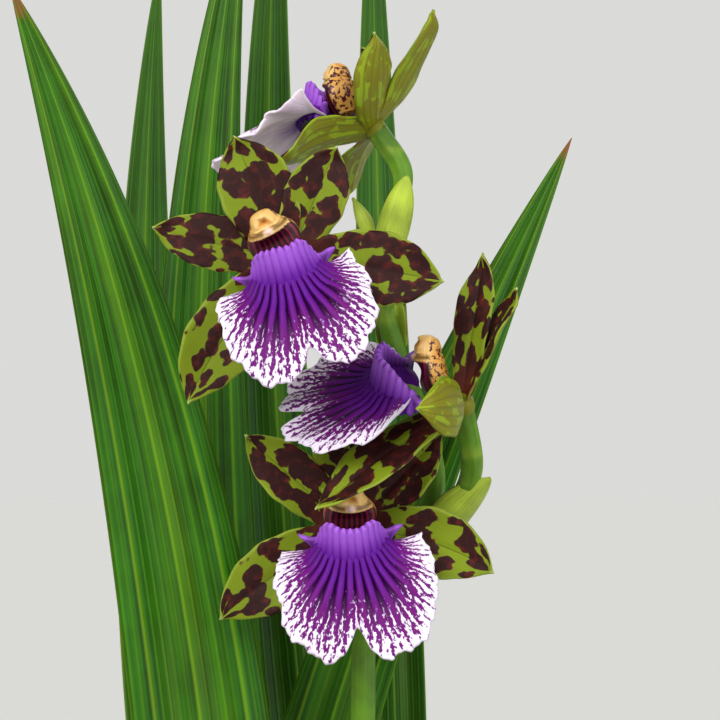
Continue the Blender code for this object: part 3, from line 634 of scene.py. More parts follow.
def column_finish(look):
    """The column: maroon and striped under its hood, cream and amber on the cap, painted shade in olive brown
    just below the arches on the cap, and maroon flecks behind.
    """
    finish = Finish("column")
    belly, along, flank = finish.lay()
    tone, cells = finish.tissue(flank, along, 26.0)
    ragged = finish.noise(finish.vector(flank, 0.0, 0.0), 9.0) * 0.16 + along
    under = ragged.ramp(0.65, 0.61) * belly.ramp(-0.05, 0.2)
    stripes = (flank * 30.0).sine().ramp(-0.1, 0.9)
    striped = finish.mix(stripes, shade(look.column_maroon, 0.55), shade(look.column_maroon, 3.0, 2.6, 2.2))
    amber = shade(look.column_cream, 0.8, 0.52, 0.2)
    cream = finish.mix(tone.ramp(0.4, 0.72), look.column_cream, amber)
    golden = finish.mix(belly.ramp(0.3, -0.3, 0.0, 0.8), cream, amber)
    heart = along.near(0.79, 0.1) * abs(flank).ramp(0.62, 0.25) * belly.ramp(0.1, 0.5)
    warmed = finish.mix(heart, golden, srgb(206, 134, 48))
    # Painted shade: olive brown just below the cream arches over the cap's lobes
    arch = along.near(0.615, 0.06) * abs(flank).ramp(0.15, 0.35) * belly.ramp(-0.1, 0.3)
    arch_shaded = finish.mix(arch, warmed, srgb(122, 88, 34))
    flecks = finish.noise(finish.place, 800.0, 3.0, 0.6).ramp(0.5, 0.57)
    rear = flecks * belly.ramp(0.45, 0.1) * along.ramp(0.97, 0.88)
    marked = finish.mix(rear, arch_shaded, look.column_maroon)
    drop = along.near(0.64, 0.08) * abs(flank).ramp(0.3, 0.08) * belly.ramp(0.2, 0.6)
    colour = finish.mix(drop, finish.mix(under, marked, striped), srgb(226, 192, 190))
    return finish.done(colour, 0.36, 0.42, (cells, 0.3, 0.0004), (0.06, 0.001))


def leaf_finish(look, name, ribs, tone_share):
    """A leaf: deep green between paler ribs, with fine lines along it and a dry tip."""
    finish = Finish(name)
    across, along, width = finish.lay()
    tone, cells = finish.tissue(across, along, 34.0)
    rib = (across * ribs).cosine().ramp(0.93, 1.0)
    fine = (across * (ribs * 5.0)).cosine().ramp(0.3, 1.0)
    green, pale = shade(look.leaf_green, tone_share), shade(look.leaf_rib, tone_share)
    strands = finish.noise(finish.vector(across * 9.0, along * 1.6, width), 1.0, 5.0, 0.6)
    ground = finish.tones((tone * 0.35 + strands * 0.65).ramp(0.32, 0.68), green, 0.35, 1.6)
    cast = finish.noise(finish.vector(across, along * 1.5, 0.0), 1.5, 2.0).ramp(0.4, 0.75)
    colour = finish.mix(cast * 0.4, ground, shade(pale, 0.7))
    for share in (fine * 0.1, rib * 0.32, abs(across).ramp(0.96, 1.0) * 0.35):
        colour = finish.mix(share, colour, pale)
    foot = finish.mix(along.ramp(0.16, 0.0), colour, shade(pale, 1.1))
    dry = (finish.noise(finish.place, 300.0) * 0.03 + along).ramp(0.985, 1.01)
    bump = (cells * 0.5 + (rib * 0.6 + fine), 0.45, 0.0004)
    return finish.done(finish.mix(dry, foot, srgb(132, 84, 44)), tone.ramp(0.2, 0.8, 0.38, 0.54), 0.2, bump)


def stem_finish(green, name, rim=0.0):
    """The spike: bright green, paler in places, with fine lines. rim is how brown a bract's edge is."""
    finish = Finish(name)
    _, along, side = finish.lay()
    tone, cells = finish.tissue(side, along, 14.0)
    ground = finish.tones(tone.ramp(0.3, 0.7), green, 0.5, 1.3)
    pale = finish.noise(finish.place, 130.0, 2.0).ramp(0.5, 0.75)
    soft = finish.mix(pale * 0.35, ground, srgb(170, 186, 60))
    worn = finish.noise(finish.place, 500.0, 2.0) * 0.08 + abs(side)
    colour = finish.mix(worn.ramp(0.98, 1.03) * rim, soft, srgb(96, 62, 34))
    return finish.done(colour, 0.46, 0.32, (cells, 0.35, 0.0004), (0.08, 0.002))


def bulb_finish(look):
    """A pseudobulb: green, with worn brown scars."""
    finish = Finish("pseudobulb")
    _, along, side = finish.lay()
    tone, cells = finish.tissue(side, along, 22.0)
    worn = finish.noise(finish.place, 110.0, 4.0, 0.6).ramp(0.56, 0.7)
    colour = finish.mix(worn * 0.55, finish.tones(tone, look.bulb_green, 0.55, 1.45), srgb(150, 126, 70))
    return finish.done(colour, 0.4, 0.45, (cells, 0.35, 0.0005))


def husk_finish(look):
    """The dry husk on a bulb: papery and fibrous, browner where it is torn."""
    finish = Finish("husk")
    across, along, _ = finish.lay()
    tone, cells = finish.tissue(across, along, 26.0)
    ground = finish.tones(tone.ramp(0.3, 0.7), look.husk_brown, 0.4, 1.0)
    colour = finish.mix(along.ramp(0.75, 1.0), ground, shade(look.husk_brown, 0.35))
    return finish.done(colour, 0.7, 0.25, (cells, 0.8, 0.0006))


def bark_finish(look):
    """Bark chips: rough and fibrous, each with a tone of its own."""
    finish = Finish("bark_chip")
    tint = finish.lay()[2]
    tone, grains = finish.effect("Speckle", finish.place, 160.0, 1100.0)
    dark = shade(look.bark_brown, 0.28)
    base = finish.mix(tint, dark, shade(look.bark_brown, 1.8, 1.5, 1.3))
    return finish.done(finish.mix(tone.ramp(0.35, 0.65), dark, base), 0.88, 0.2, (grains, 0.9, 0.0012))


def clay_finish(look):
    """Plain fired clay: turning lines, a chalky bloom, and darker towards the foot."""
    finish = Finish("pot_clay")
    height = finish.parts(finish.place)[2]
    tone, grains = finish.effect("Speckle", finish.place, 45.0, 1500.0)
    lines = finish.noise(finish.vector(0.0, 0.0, height * 520.0), 1.0)
    ground = finish.tones(tone.ramp(0.3, 0.7), look.clay, 0.72, 1.0)
    bloom = finish.noise(finish.place, 28.0, 5.0, 0.65).ramp(0.52, 0.74)
    chalky = finish.mix(bloom * 0.4, ground, srgb(214, 176, 150))
    # Darker towards the foot of the pot
    darker_foot = (tone * 0.03 + height).ramp(0.045, 0.018) * 0.45
    return finish.done(
        finish.mix(darker_foot, chalky, shade(look.clay, 0.45)), 0.82, 0.3, (grains * 0.5 + lines * 0.5, 0.4, 0.0006)
    )


# Blooms

# Half the lip's spread at its rim in degrees, and what its foot has more
LIP_HALF_ANGLE = 83.0
LIP_BASE_SPREAD = 60.0
LIP_CLAW = 3.0
LIP_WING_LIFT = 2.5
LIP_FLAT_LENGTH = 3.0
LIP_BEND_LENGTH = 16.0
CREST_HALF_ANGLE = 102.0
CREST_RADIUS = 8.2
CREST_HEIGHT = 12.0
CREST_THICKNESS = 1.9
CREST_RIDGES = 17
HUB_RADIUS = 3.3

TEPAL_NAMES = ("dorsal_sepal", "petal_a", "petal_b", "lateral_sepal_a", "lateral_sepal_b")

# Each bloom: the middle of its tepals, its tepals (tip from the middle, width, face, bow, sweep, cup),
# its lip (place from the middle, yaw, tilt, roll, reach, droop, skew, arch, ruffle), its column (foot, tip,
# hood) and how wide the green channels between each tepal's blotches are.
BLOOMS = {
    "bloom_top": {
        "centre": (4.1, 8, 523.4),
        "tepals": (
            ((17.5, -3, 32), 14.5, (-0.85, 0.35, 0.35), -2, 0, 0.15),
            ((1, -17, 24), 15.5, (-0.75, 0.5, 0.45), -3, 4, 0.2),
            ((-2.5, 24, 26), 13, (-0.75, -0.45, 0.35), -2, 0, 0.15),
            ((-24.5, -20, -11.5), 15, (-0.35, 0.55, 0.75), 4, 0, 0.2),
            ((-7, 30, -17), 15, (-0.6, 0.1, 0.75), 3, 0, 0.2),
        ),
        "lip": ((-10, 3, 1), -118, -8, 8, 37, 52, 0, 1, 3.0),
        "column": ((-7.5, 3.5, 4), (-10, 5.5, 19), (-2, 1, 1)),
        "channels": (0.06, 0.06, 0.06, 0.10, 0.10),
    },
    "bloom_upper": {
        "centre": (-18.6, -24, 485.4),
        "tepals": (
            ((-14.2, 2, 32.5), 20, (0, -1, 0.1), 1, 0, 0.15),
            ((12.5, 1, 29.9), 16.5, (0.1, -1, 0.1), 1, 0, 0.15),
            ((-35, 0, 8.5), 15, (0.1, -1, 0.2), 1, 0, 0.15),
            ((-25.5, -4, -36.5), 19, (0.1, -1, 0.15), 3, 3, 0.15),
            ((40, -4, -5.5), 20, (-0.1, -1, 0.15), 3, -1, 0.15),
        ),
        "lip": ((0.5, -8, -5), 5, 12, 17, 34, 58, 0, 1, 1.5),
        "column": ((-0.5, -7, 0.5), (-7, -14, 12), (-1, -2, 1.5)),
        "channels": (0.05, 0.05, 0.03, 0.13, 0.08),
    },
    "bloom_middle": {
        "centre": (27, -15, 448),
        "tepals": (
            ((15.3, -4, 30), 14, (-0.93, -0.3, 0.3), 2, 0, 0.15),
            ((6.5, 4, 40), 12, (-0.6, -0.78, 0.15), 1, 0, 0.15),
            ((-12, -31, 0), 16, (-0.78, 0.5, -0.1), -5, 0, 0.2),
            ((-38, -17, -27), 15, (-0.25, -0.7, 0.67), 3, 0, 0.2),
            ((2.5, 31, -6.5), 12.5, (-0.75, 0, 0.65), 2, 0, 0.2),
        ),
        "lip": ((-14, -2.5, 4), -82, -2, -33, 36.5, 26, 0.5, 1, 1.3),
        "column": ((-6, -1.5, 3.5), (-8.5, -3, 18.5), (-3, 0, 1)),
        "channels": (0.05, 0.05, 0.08, 0.05, 0.06),
    },
    "bloom_lower": {
        "centre": (-2.6, -12, 415),
        "tepals": (
            ((-1.5, 4, 35), 18, (0, -1, 0.1), 1, 0, 0.15),
            ((-28, 1, 25), 15, (0.1, -1, 0.1), 1, 0, 0.15),
            ((24.5, 2, 25.5), 15, (-0.1, -1, 0.1), 1, 0, 0.15),
            ((-34, -4, -23), 18, (0.1, -1, 0.15), 3, 2, 0.15),
            ((37.5, -4, -11), 18, (-0.1, -1, 0.15), 3, -4, 0.15),
        ),
        "lip": ((0.5, -8, -4), 2, 18, 5, 35.5, 60, 0, 1, 1.5),
        "column": ((0, -6, 0), (0, -13.5, 12.5), (0, -2, 1.5)),
        "channels": (0.03, 0.04, 0.03, 0.10, 0.10),
    },
}


def tepal_width(t):
    """Share of a tepal's full width at t: a short claw, a broad middle and a small drawn-out point."""
    body = math.sin(math.pi * min(1.0, t / 0.975) ** 1.12) ** 0.72 if t < 0.975 else 0.0
    foot = 0.42 * (1 - t) ** 2
    point = 0.13 * smoothstep(1.02, 0.88, t)
    return max(point, foot + (1 - foot) * body)


def tepal(name, root, tip, width, face, bow, sweep, cup, marks, phase, thickness, materials):
    """A sepal or petal from the bloom's hub to its tip, with a furrow along it and a slightly waved rim."""
    reach = Vector(tip)
    heading = reach.normalized()
    flat = (Vector(face) - heading * Vector(face).dot(heading)).normalized()
    lift = flat * bow + heading.cross(flat) * sweep
    near, far = root + reach * 0.35 + lift, root + reach * 0.72 + lift
    line = Ribbon((root + reach * 0.06, near, far, root + reach), face)

    def place(s, t):
        spot, across, out = line.at(t)
        half = width / 2 * tepal_width(t)
        furrow = -0.45 * hump(s, 0.0, 0.13) * math.sin(math.pi * t)
        waved = 0.55 * s * s * math.sin(11.0 * t + phase + 1.5 * s)
        rim = 0.02 * math.sin(31.0 * t + phase * 3) * s
        hook = 1.6 * smoothstep(0.86, 1.0, t)
        moved = spot + across * ((s + rim) * half) + out * (cup * half * s * s + furrow + waved + hook)
        return moved, marks

    return blade(name, 30, 60, place, thickness, materials)


def lip_reach(angle):
    """Share of the lip's reach at an angle in degrees from its middle: a notch, two lobes, and side wings."""
    notch = 0.24 * hump(angle, 0.0, 6.0)
    shoulder = 0.50 * smoothstep(14.0, 90.0, abs(angle))
    dent = 0.03 * hump(abs(angle), 48.0, 6.0)
    return 1.0 - notch - shoulder - dent


class LipFrame:
    """Where a lip's points go. Past its flat foot it bends down by droop, and skew shortens one side."""

    def __init__(self, origin, yaw, tilt, roll, reach, droop, skew):
        self.origin = Vector(origin)
        yaw, tilt, roll = (math.radians(x) for x in (yaw, tilt, roll))
        ahead = Vector((math.sin(yaw), -math.cos(yaw), 0))
        beside = Vector((math.cos(yaw), math.sin(yaw), 0))
        above = Vector((0, 0, 1))
        self.forward = ahead * math.cos(tilt) - above * math.sin(tilt)
        raised = ahead * math.sin(tilt) + above * math.cos(tilt)
        self.side = beside * math.cos(roll) + raised * math.sin(roll)
        self.face = raised * math.cos(roll) - beside * math.sin(roll)
        self.reach = reach
        self.skew = skew
        self.droop = math.radians(droop)
        self.bend = self.droop / LIP_BEND_LENGTH

    def at(self, ahead, beside, out):
        """The point that far along, across and out of the bent plate."""
        bent = ahead - LIP_FLAT_LENGTH
        angle = min(self.droop, self.bend * max(0.0, bent))
        straight = max(0.0, bent - LIP_BEND_LENGTH)
        run = min(ahead, LIP_FLAT_LENGTH) + math.sin(angle) / self.bend + straight * math.cos(self.droop)
        drop = (1 - math.cos(angle)) / self.bend + straight * math.sin(self.droop)
        place = self.origin + self.forward * run - self.face * drop + self.side * beside
        return place + (self.forward * math.sin(angle) + self.face * math.cos(angle)) * out


def lip_blade(name, lip_frame, arch, ruffle, phase, thickness, materials):
    """The lip's fan: pleated near the crest, ruffled and finely notched at its margin."""

    def place(s, t):
        angle = s * (LIP_HALF_ANGLE + LIP_BASE_SPREAD * (1 - t) ** 2)
        turn = math.radians(angle)
        notches = ((0.016, 17, phase), (0.012, 41, phase * 2), (0.006, 89, 0.0))
        fringe = sum(depth * math.sin(turn * count + start) for depth, count, start in notches)
        uneven = 1 + 0.03 * math.sin(turn * 2 + phase) + fringe * smoothstep(0.5, 1.0, t)
        kept = 1 - lip_frame.skew * smoothstep(45.0, LIP_HALF_ANGLE, angle)
        outer = lip_frame.reach * lip_reach(angle) * kept
        r = LIP_CLAW + (outer * uneven - LIP_CLAW) * t
        beside = r * math.sin(turn)
        wave = ruffle * (t**3 * math.sin(turn * 5) + 0.42 * t**4 * math.sin(turn * 19 + phase * 3))
        pleat = -0.55 * math.cos(turn * LIP_FURROWS) * smoothstep(0.75, 0.3, abs(s)) * hump(r, 14.0, 8.0)
        ramp = 3.2 * hump(r, CREST_RADIUS + 0.5, 3.2) * smoothstep(1.0, 0.6, abs(s))
        wing = LIP_WING_LIFT * t * t * smoothstep(55.0, LIP_HALF_ANGLE, abs(angle))
        sag = arch * (beside / lip_frame.reach) ** 2
        return lip_frame.at(r * math.cos(turn), beside, wave + wing + pleat + ramp - sag), r / 10

    return blade(name, 200, 60, place, thickness, materials, flip=True)


def crest(name, lip_frame, phase, finish):
    """The horseshoe crest round the column's foot: a fleshy ridged wall with an ear at each end."""

    def place(s, t):
        turn = math.radians(s * CREST_HALF_ANGLE)
        ridge = 0.5 + 0.5 * math.cos(s * CREST_RIDGES * math.pi)
        ear = smoothstep(0.8, 1.0, abs(s))
        flare = 1 - 0.03 * t + 0.75 * t * ear
        ribbed = 1.1 * (ridge - 0.5) * smoothstep(1.05, 0.5, t) + 2.8 * (1 - t) ** 3
        r = CREST_RADIUS * flare + ribbed * (1 - ear)
        height = CREST_HEIGHT * (0.94 - 0.59 * smoothstep(0.3, 0.9, abs(s)))
        scallop = 0.6 * ridge * t * (1 - ear) + 0.5 * ear * t * math.sin(9 * turn)
        uneven = (0.35 * math.sin(3 * turn + phase) + 0.25 * math.sin(7 * turn + 2 * phase)) * t
        out = height * (t * 1.1 - 0.1) + scallop + uneven
        return lip_frame.at(r * math.cos(turn), r * math.sin(turn), out), ridge

    return blade(name, 200, 22, place, CREST_THICKNESS, [finish, finish], flip=True)


# Share of the column's length, half its width there and half its depth
COLUMN_PROFILE = (
    (0.0, 4.2, 3.2),
    (0.2, 6.5, 4.0),
    (0.42, 6.8, 4.1),
    (0.6, 5.4, 3.8),
    (0.74, 3.9, 3.4),
    (0.88, 3.1, 2.8),
    (0.96, 2.2, 2.0),
    (1.0, 0.5, 0.5),
)
# What shapes the middle of the column's belly: the drop, the beak and the cleft. Each has its height, its
# middle and half width across the belly, and its middle and half width along the column.
COLUMN_RELIEF = (
    (1.3, 0.0, 0.2, 0.64, 0.05),
    (0.8, 0.0, 0.35, 0.92, 0.05),
    (-1.3, 0.0, 0.36, 0.79, 0.07),
)
# The same for what stands on both sides of it: the cap's lobes and the arches over them
COLUMN_PAIRS = (
    (1.0, 0.55, 0.28, 0.77, 0.075),
    (0.9, 0.62, 0.3, 0.675, 0.028),
)


def eased(rows, t):
    """The values at t of rows that each start with their place, joined by smooth curves."""
    for i in range(len(rows) - 1):
        if t <= rows[i + 1][0] or i == len(rows) - 2:
            break
    before, after = rows[max(0, i - 1)], rows[min(len(rows) - 1, i + 2)]
    low, high = rows[i], rows[i + 1]
    span = high[0] - low[0]
    u = min(1.0, (t - low[0]) / span)
    values = []
    for k in range(1, len(low)):
        first = (high[k] - before[k]) / (high[0] - before[0]) * span
        last = (after[k] - low[k]) / (after[0] - low[0]) * span
        start = low[k] * (2 * u**3 - 3 * u**2 + 1) + first * (u**3 - 2 * u**2 + u)
        values.append(start + high[k] * (3 * u**2 - 2 * u**3) + last * (u**3 - u**2))
    return values


def column(name, foot, tip, hood, across, finish):
    """The column: flattened and winged, hollow under its hood, with a two-lobed cap and a small beak."""
    start, end = Vector(foot), Vector(tip)
    middle = (start + end) / 2 + Vector(hood)
    rings, sides = 90, 64
    points, lays = [], []
    for i in range(rings + 1):
        t = i / rings
        spot = start * (1 - t) ** 2 + middle * 2 * t * (1 - t) + end * t * t
        along = ((middle - start) * (1 - t) + (end - middle) * t).normalized()
        wide = (across - along * across.dot(along)).normalized()
        deep = wide.cross(along)
        half_width, half_depth = (max(0.05, value) for value in eased(COLUMN_PROFILE, t))
        for k in range(sides):
            angle = 2 * math.pi * k / sides
            flank, belly = math.sin(angle), -math.cos(angle)
            front = max(0.0, belly)
            # The hood's rim and fine ribs stand out, and the hollow under it and the cap's seam go in
            more = front * (0.9 * hump(t, 0.57, 0.035) + 0.1 * math.sin(30 * flank) * hump(t, 0.3, 0.2))
            more -= 1.5 * front**2 * hump(t, 0.40, 0.13) + 0.55 * hump(t, 0.66, 0.022)
            for height, beside, reach, place, length in COLUMN_RELIEF:
                more += height * hump(flank, beside, reach) * front * hump(t, place, length)
            for height, beside, reach, place, length in COLUMN_PAIRS:
                more += height * hump(abs(flank), beside, reach) * front**0.5 * hump(t, place, length)
            step = wide * flank * (half_width + 0.4 * more) + deep * belly * max(0.05, half_depth + more)
            points.append(spot + step)
            lays.append((belly, t, flank))
    faces = ring_faces(rings, sides)
    faces.append(list(reversed(range(sides))))
    faces.append([rings * sides + k for k in range(sides)])
    return mesh_object(name, points, faces, [finish], None, lays)


def knob(name, centre, radius, finish):
    """The small rounded hub that a bloom's tepals grow from."""
    mesh = bpy.data.meshes.new(name)
    work = bmesh.new()
    bmesh.ops.create_icosphere(work, subdivisions=3, radius=radius * MM)
    bmesh.ops.translate(work, verts=work.verts, vec=Vector(centre) * MM)
    work.to_mesh(mesh)
    work.free()
    mesh.materials.append(finish)
    mesh.shade_smooth()
    return linked(name, mesh)


class ORCHID_OT_blooms(bpy.types.Operator):
    """Build the four blooms: tepals, lip with its crest, and column"""

    bl_idname = "orchid.blooms"
    bl_label = "Build blooms"

    def execute(self, context):
        look = context.scene.orchid_flower
        tepals = [tepal_face(look), tepal_back(look)]
        lips = [lip_face(look), lip_back(look)]
        violet = crest_finish(look)
        cream = column_finish(look)
        for number, (name, bloom) in enumerate(BLOOMS.items()):
            centre = Vector(bloom["centre"])
            blades = [knob(name + "_hub", centre, HUB_RADIUS, tepals[1])]
            for part, shape, channel in zip(TEPAL_NAMES, bloom["tepals"], bloom["channels"]):
                phase = 1.7 * number + 2.3 * len(blades)
                marks = 5 * number + len(blades) + channel
                piece = f"{name}_{part}"
                blades.append(tepal(piece, centre, *shape, marks, phase, look.tepal_thickness / MM, tepals))
            finished(joined(name + "_tepal_whorl", blades), name + "_tepals")
            place, *turns, arch, ruffle = bloom["lip"]
            lip_frame = LipFrame(centre + Vector(place), *turns)
            thickness = look.lip_thickness / MM
            fan = lip_blade(name + "_lip_blade", lip_frame, arch, ruffle, number * 1.9, thickness, lips)
            finished(fan, name + "_lip")
            finished(crest(name + "_crest", lip_frame, number * 1.3, violet))
            foot, tip, hood = (Vector(spot) for spot in bloom["column"])
            body = column(name + "_column_body", centre + foot, centre + tip, hood, lip_frame.side, cream)
            finished(body, name + "_column")
        return {"FINISHED"}


# Spike

SCAPE_FOOT_RADIUS = 3.9
SCAPE_TOP_RADIUS = 2.3
PEDICEL_RADIUS = 2.4
OVARY_RADIUS = 3.0
BRACT_THICKNESS = 1.0

# The points that the scape runs through
SCAPE = (
    (4, -6, 101.5),
    (3, 0, 180),
    (0.5, 6, 270),
    (0.8, 10, 362),
    (2.5, 11, 386),
    (14, 11, 409),
    (20.5, 10, 425),
    (17.5, 9, 442),
    (9, 9, 465),
    (6.6, 8, 478),
    (8, 7, 490),
)
# The points that each pedicel runs through, from the scape to its bloom
PEDICELS = {
    "bloom_lower": ((4.5, 11, 391), (5, 22, 398), (2, 20, 410), (-1, 5, 416)),
    "bloom_middle": ((19, 10.5, 417), (25.5, 2, 421), (30, -5, 431), (29.5, -8, 440)),
    "bloom_upper": ((9.5, 9, 464.5), (6, 16, 474), (-7, 7, 483), (-13.5, -8, 486)),
    "bloom_top": ((8.2, 7, 488), (10.6, 5, 501), (11.4, 6, 512), (8.5, 8, 519.5)),
}
# Each bract: its foot, its tip, where its hollow faces and its width
BRACTS = {
    "bloom_lower": ((4, 13, 386.5), (7, 27, 405), (0, -1, 0.4), 13),
    "bloom_middle": ((20.5, 2, 408.5), (35, -4.5, 428.5), (-0.45, 0.8, 0.4), 19),
    "bloom_upper": ((9, 12, 462), (8, 22, 480), (0, -1, 0.3), 13),
    "bloom_top": ((6.5, 1, 487.5), (12.8, 0, 510), (0.1, 1, 0.1), 13),
}
END_BUD = ((7.4, 8, 485), (4.5, 10, 490.5), (1.5, 12, 498), (-2, 13.5, 505))


def bract(name, foot, tip, face, width, finish):
    """A boat-shaped bract that clasps a pedicel's foot."""
    start, end = Vector(foot), Vector(tip)
    line = Ribbon((start, start.lerp(end, 0.3), start.lerp(end, 0.7), end), face)

    def place(s, t):
        spot, across, out = line.at(t)
        half = width / 2 * max(0.04, 0.8 + 0.45 * t - 1.22 * t**4)
        bend = math.radians(88.0) * s * (1 - 0.35 * t)
        lifted = half * 0.72
        return spot + across * (math.sin(bend) * lifted) + out * ((1 - math.cos(bend)) * lifted), s

    return blade(name, 24, 32, place, BRACT_THICKNESS, [finish, finish])


class ORCHID_OT_spike(bpy.types.Operator):
    """Build the flower spike: its scape, pedicels, bracts and last bud"""

    bl_idname = "orchid.spike"
    bl_label = "Build flower spike"

    def execute(self, context):
        look = context.scene.orchid_plant
        finish = stem_finish(look.stem_green, "stem")
        sheath = stem_finish(look.bract_green, "bract", 0.9)
        route = smooth_route(SCAPE, 22)
        node_heights = [points[0][2] for points in PEDICELS.values()]

        def scape_section(t, angle):
            height = route[min(len(route) - 1, round(t * (len(route) - 1)))].z
            swelling = sum(hump(height, node, 3.0) for node in node_heights)
            radius = SCAPE_FOOT_RADIUS + (SCAPE_TOP_RADIUS - SCAPE_FOOT_RADIUS) * t
            return radius * (1 + 0.10 * swelling) + 0.08 * math.cos(9 * angle)

        def pedicel_section(t, angle):
            radius = PEDICEL_RADIUS + (OVARY_RADIUS - PEDICEL_RADIUS) * smoothstep(0.3, 0.8, t)
            return radius + 0.14 * math.cos(6 * angle + 2 * t) * smoothstep(0.3, 0.7, t)

        def bud_section(t, angle):
            return 0.8 + 1.5 * hump(t, 0.68, 0.2) - 0.5 * smoothstep(0.85, 1.0, t)

        finished(tube("scape", route, scape_section, 28, [finish]), "flower_spike")
        for name, points in PEDICELS.items():
            centre = Vector(BLOOMS[name]["centre"])
            end = centre + (Vector(points[-1]) - centre).normalized()
            line = smooth_route((*points[:-1], end), 16)
            finished(tube(name + "_pedicel", line, pedicel_section, 30, [finish]))
            finished(bract(name + "_bract", *BRACTS[name], sheath))
        finished(tube("end_bud", smooth_route(END_BUD, 12), bud_section, 20, [sheath]))
        return {"FINISHED"}


# Bulbs and leaves

POT_HEIGHT = 122.0
POT_TOP_RADIUS = 72.0
POT_FOOT_RADIUS = 52.0
POT_RIM_HEIGHT = 20.0
POT_RIM_STEP = 4.0
POT_WALL = 4.5
POT_FLOOR = 6.0
POT_RIM_LOW = POT_HEIGHT - POT_RIM_HEIGHT
POT_SLOPE = (POT_TOP_RADIUS - POT_RIM_STEP - POT_FOOT_RADIUS) / POT_RIM_LOW
DRAIN_RADIUS = 4.0
DRAIN_CIRCLE = 26.0
DRILL_LENGTH = 30.0
BARK_TOP = 106.0
BARK_DOME = 5.0
BULB_SINK = 9.0
HUSK_THICKNESS = 0.5
# Each bulb: its place, its height over the bark and its radius
BULBS = {
    "front": ((-27, -17), 56, 17),
    "left": ((-30, 22), 60, 18),
    "back": ((10, 30), 54, 17),
    "right": ((33, -4), 50, 16),
}
# Each husk of a bulb: its turn in radians, how high it reaches and half its spread in degrees
HUSKS = ((0.4, 0.62, 70), (2.6, 0.5, 80), (4.5, 0.8, 55))

LEAF_FOOT_WIDTH = 11.0
LEAF_GATHER = 0.7
LEAF_ROOTED = 6.0
# A leaf less wide than this has two pleats in place of three, and is a little darker
NARROW_LEAF = 28
# Each leaf: its bulb and its place on it, two points that steer it, its tip, its face, width and turn
LEAVES = {
    "front_left": ("front", (-4, 0), (-34, -10, 280), (-35, -2, 420), (-95, 0, 562), (0.3, -1, 0.1), 38, 8),
    "front_low": (
        "front", (5, -5), (-30, -40, 230), (-48, -75, 310), (-100, -120, 320), (0.3, 0.8, 0.6), 32, 0
    ),
    "left_tall": ("left", (3, 0), (-34, 40, 300), (-66, 60, 440), (-34, 66, 610), (0.1, -1, 0.1), 32, -10),
    "left_dark": ("left", (-4, 4), (-52, 60, 290), (-78, 92, 420), (-64, 100, 590), (0.2, -1, 0.1), 24, 10),
    "right_lean": ("left", (4, -6), (-44, 34, 300), (12, 38, 420), (62, 44, 525), (-0.2, -1, 0.2), 29, 20),
    "left_outer": (
        "left", (-6, -3), (-80, 22, 260), (-130, 24, 380), (-190, 20, 330), (0.5, -0.3, 0.8), 30, 0
    ),
    "back_thin": ("back", (-4, 2), (-10, 62, 300), (-40, 84, 450), (-24, 92, 640), (0.1, -1, 0), 24, 15),
    "back_upright": ("back", (4, 3), (16, 70, 300), (4, 96, 450), (4, 104, 630), (-0.1, -1, 0), 20, -15),
    "back_low": ("back", (0, 7), (20, 80, 230), (30, 150, 330), (40, 200, 270), (0, -0.6, 0.8), 30, 0),
    "right_low": ("right", (4, 0), (60, -6, 220), (110, -20, 320), (165, -45, 250), (-0.6, 0, 0.8), 30, 0),
    "right_young": ("right", (-3, 3), (38, 4, 210), (60, 24, 280), (96, 46, 335), (-0.7, -0.3, 0.6), 22, 0),
    "young": ("front", (4, 6), (-18, 6, 230), (-16, 10, 310), (-34, 10, 384), (0.1, -1, 0.1), 13, 0),
}


def bark_height(x, y):
    """The bark's surface, domed to the middle."""
    r = math.hypot(x, y) / (POT_TOP_RADIUS - POT_WALL)
    return BARK_TOP + BARK_DOME * (1 - r * r)


def leaf_width(t, width):
    """A leaf's width at t: folded narrow at its foot, broad to the middle, drawn to a point."""
    opened = LEAF_FOOT_WIDTH + (width - LEAF_FOOT_WIDTH) * smoothstep(0.0, 0.42, t)
    taper = (1 - max(0.0, (t - 0.45) / 0.55) ** 2.1) ** 0.9
    return max(0.3, opened * taper)


def leaf(name, foot, lower, upper, tip, face, width, turn, phase, ribs, thickness, finish):
    """A strap leaf: folded at its foot, pleated along its ribs, with a slow wave in its rim."""
    line = Ribbon((foot, lower, upper, tip), face, turn)

    def place(s, t):
        spot, across, out = line.at(t)
        half = leaf_width(t, width) / 2
        fold = math.radians(58.0) * (1 - smoothstep(0.0, 0.5, t)) + math.radians(9.0)
        pleat = 0.07 * half * math.cos(ribs * s) * smoothstep(0.05, 0.3, t)
        waved = 1.3 * abs(s) ** 3 * math.sin(17 * t + phase + 2.0 * s) * smoothstep(0.15, 0.4, t) * (1 - t)
        raised = abs(s) * half * math.sin(fold) + pleat + waved
        return spot + across * (s * half * math.cos(fold)) + out * raised, half / 20

    return blade(name, 32, 190, place, thickness, [finish, finish])


def bulb_radius(share):
    """Radius of a bulb, as a share of its greatest, at a share of its height."""
    if share > 0.34:
        return math.sqrt(max(0.0, 1 - abs((share - 0.34) / 0.66) ** 2.2))
    return 1 - 0.9 * (share - 0.34) ** 2


def husk(name, centre, low, tall, radius, turn, reach, spread, finish):
    """One dry leaf base that clasps a bulb and ends in a torn rim."""

    def place(s, t):
        angle = turn + math.radians(spread) * s * (1 - 0.55 * t**1.6)
        torn = 1 - 0.10 * abs(math.sin(7 * s + turn)) * t
        share = t * reach * torn
        lifted = 0.9 + 2.2 * smoothstep(0.75, 1.0, t) + 0.5 * math.sin(9 * angle) * t
        r = radius * bulb_radius(0.08 + share) + lifted
        x, y = centre[0] + r * math.cos(angle), centre[1] + r * math.sin(angle)
        return Vector((x, y, low + share * tall)), t

    return blade(name, 40, 30, place, HUSK_THICKNESS, [finish, finish])


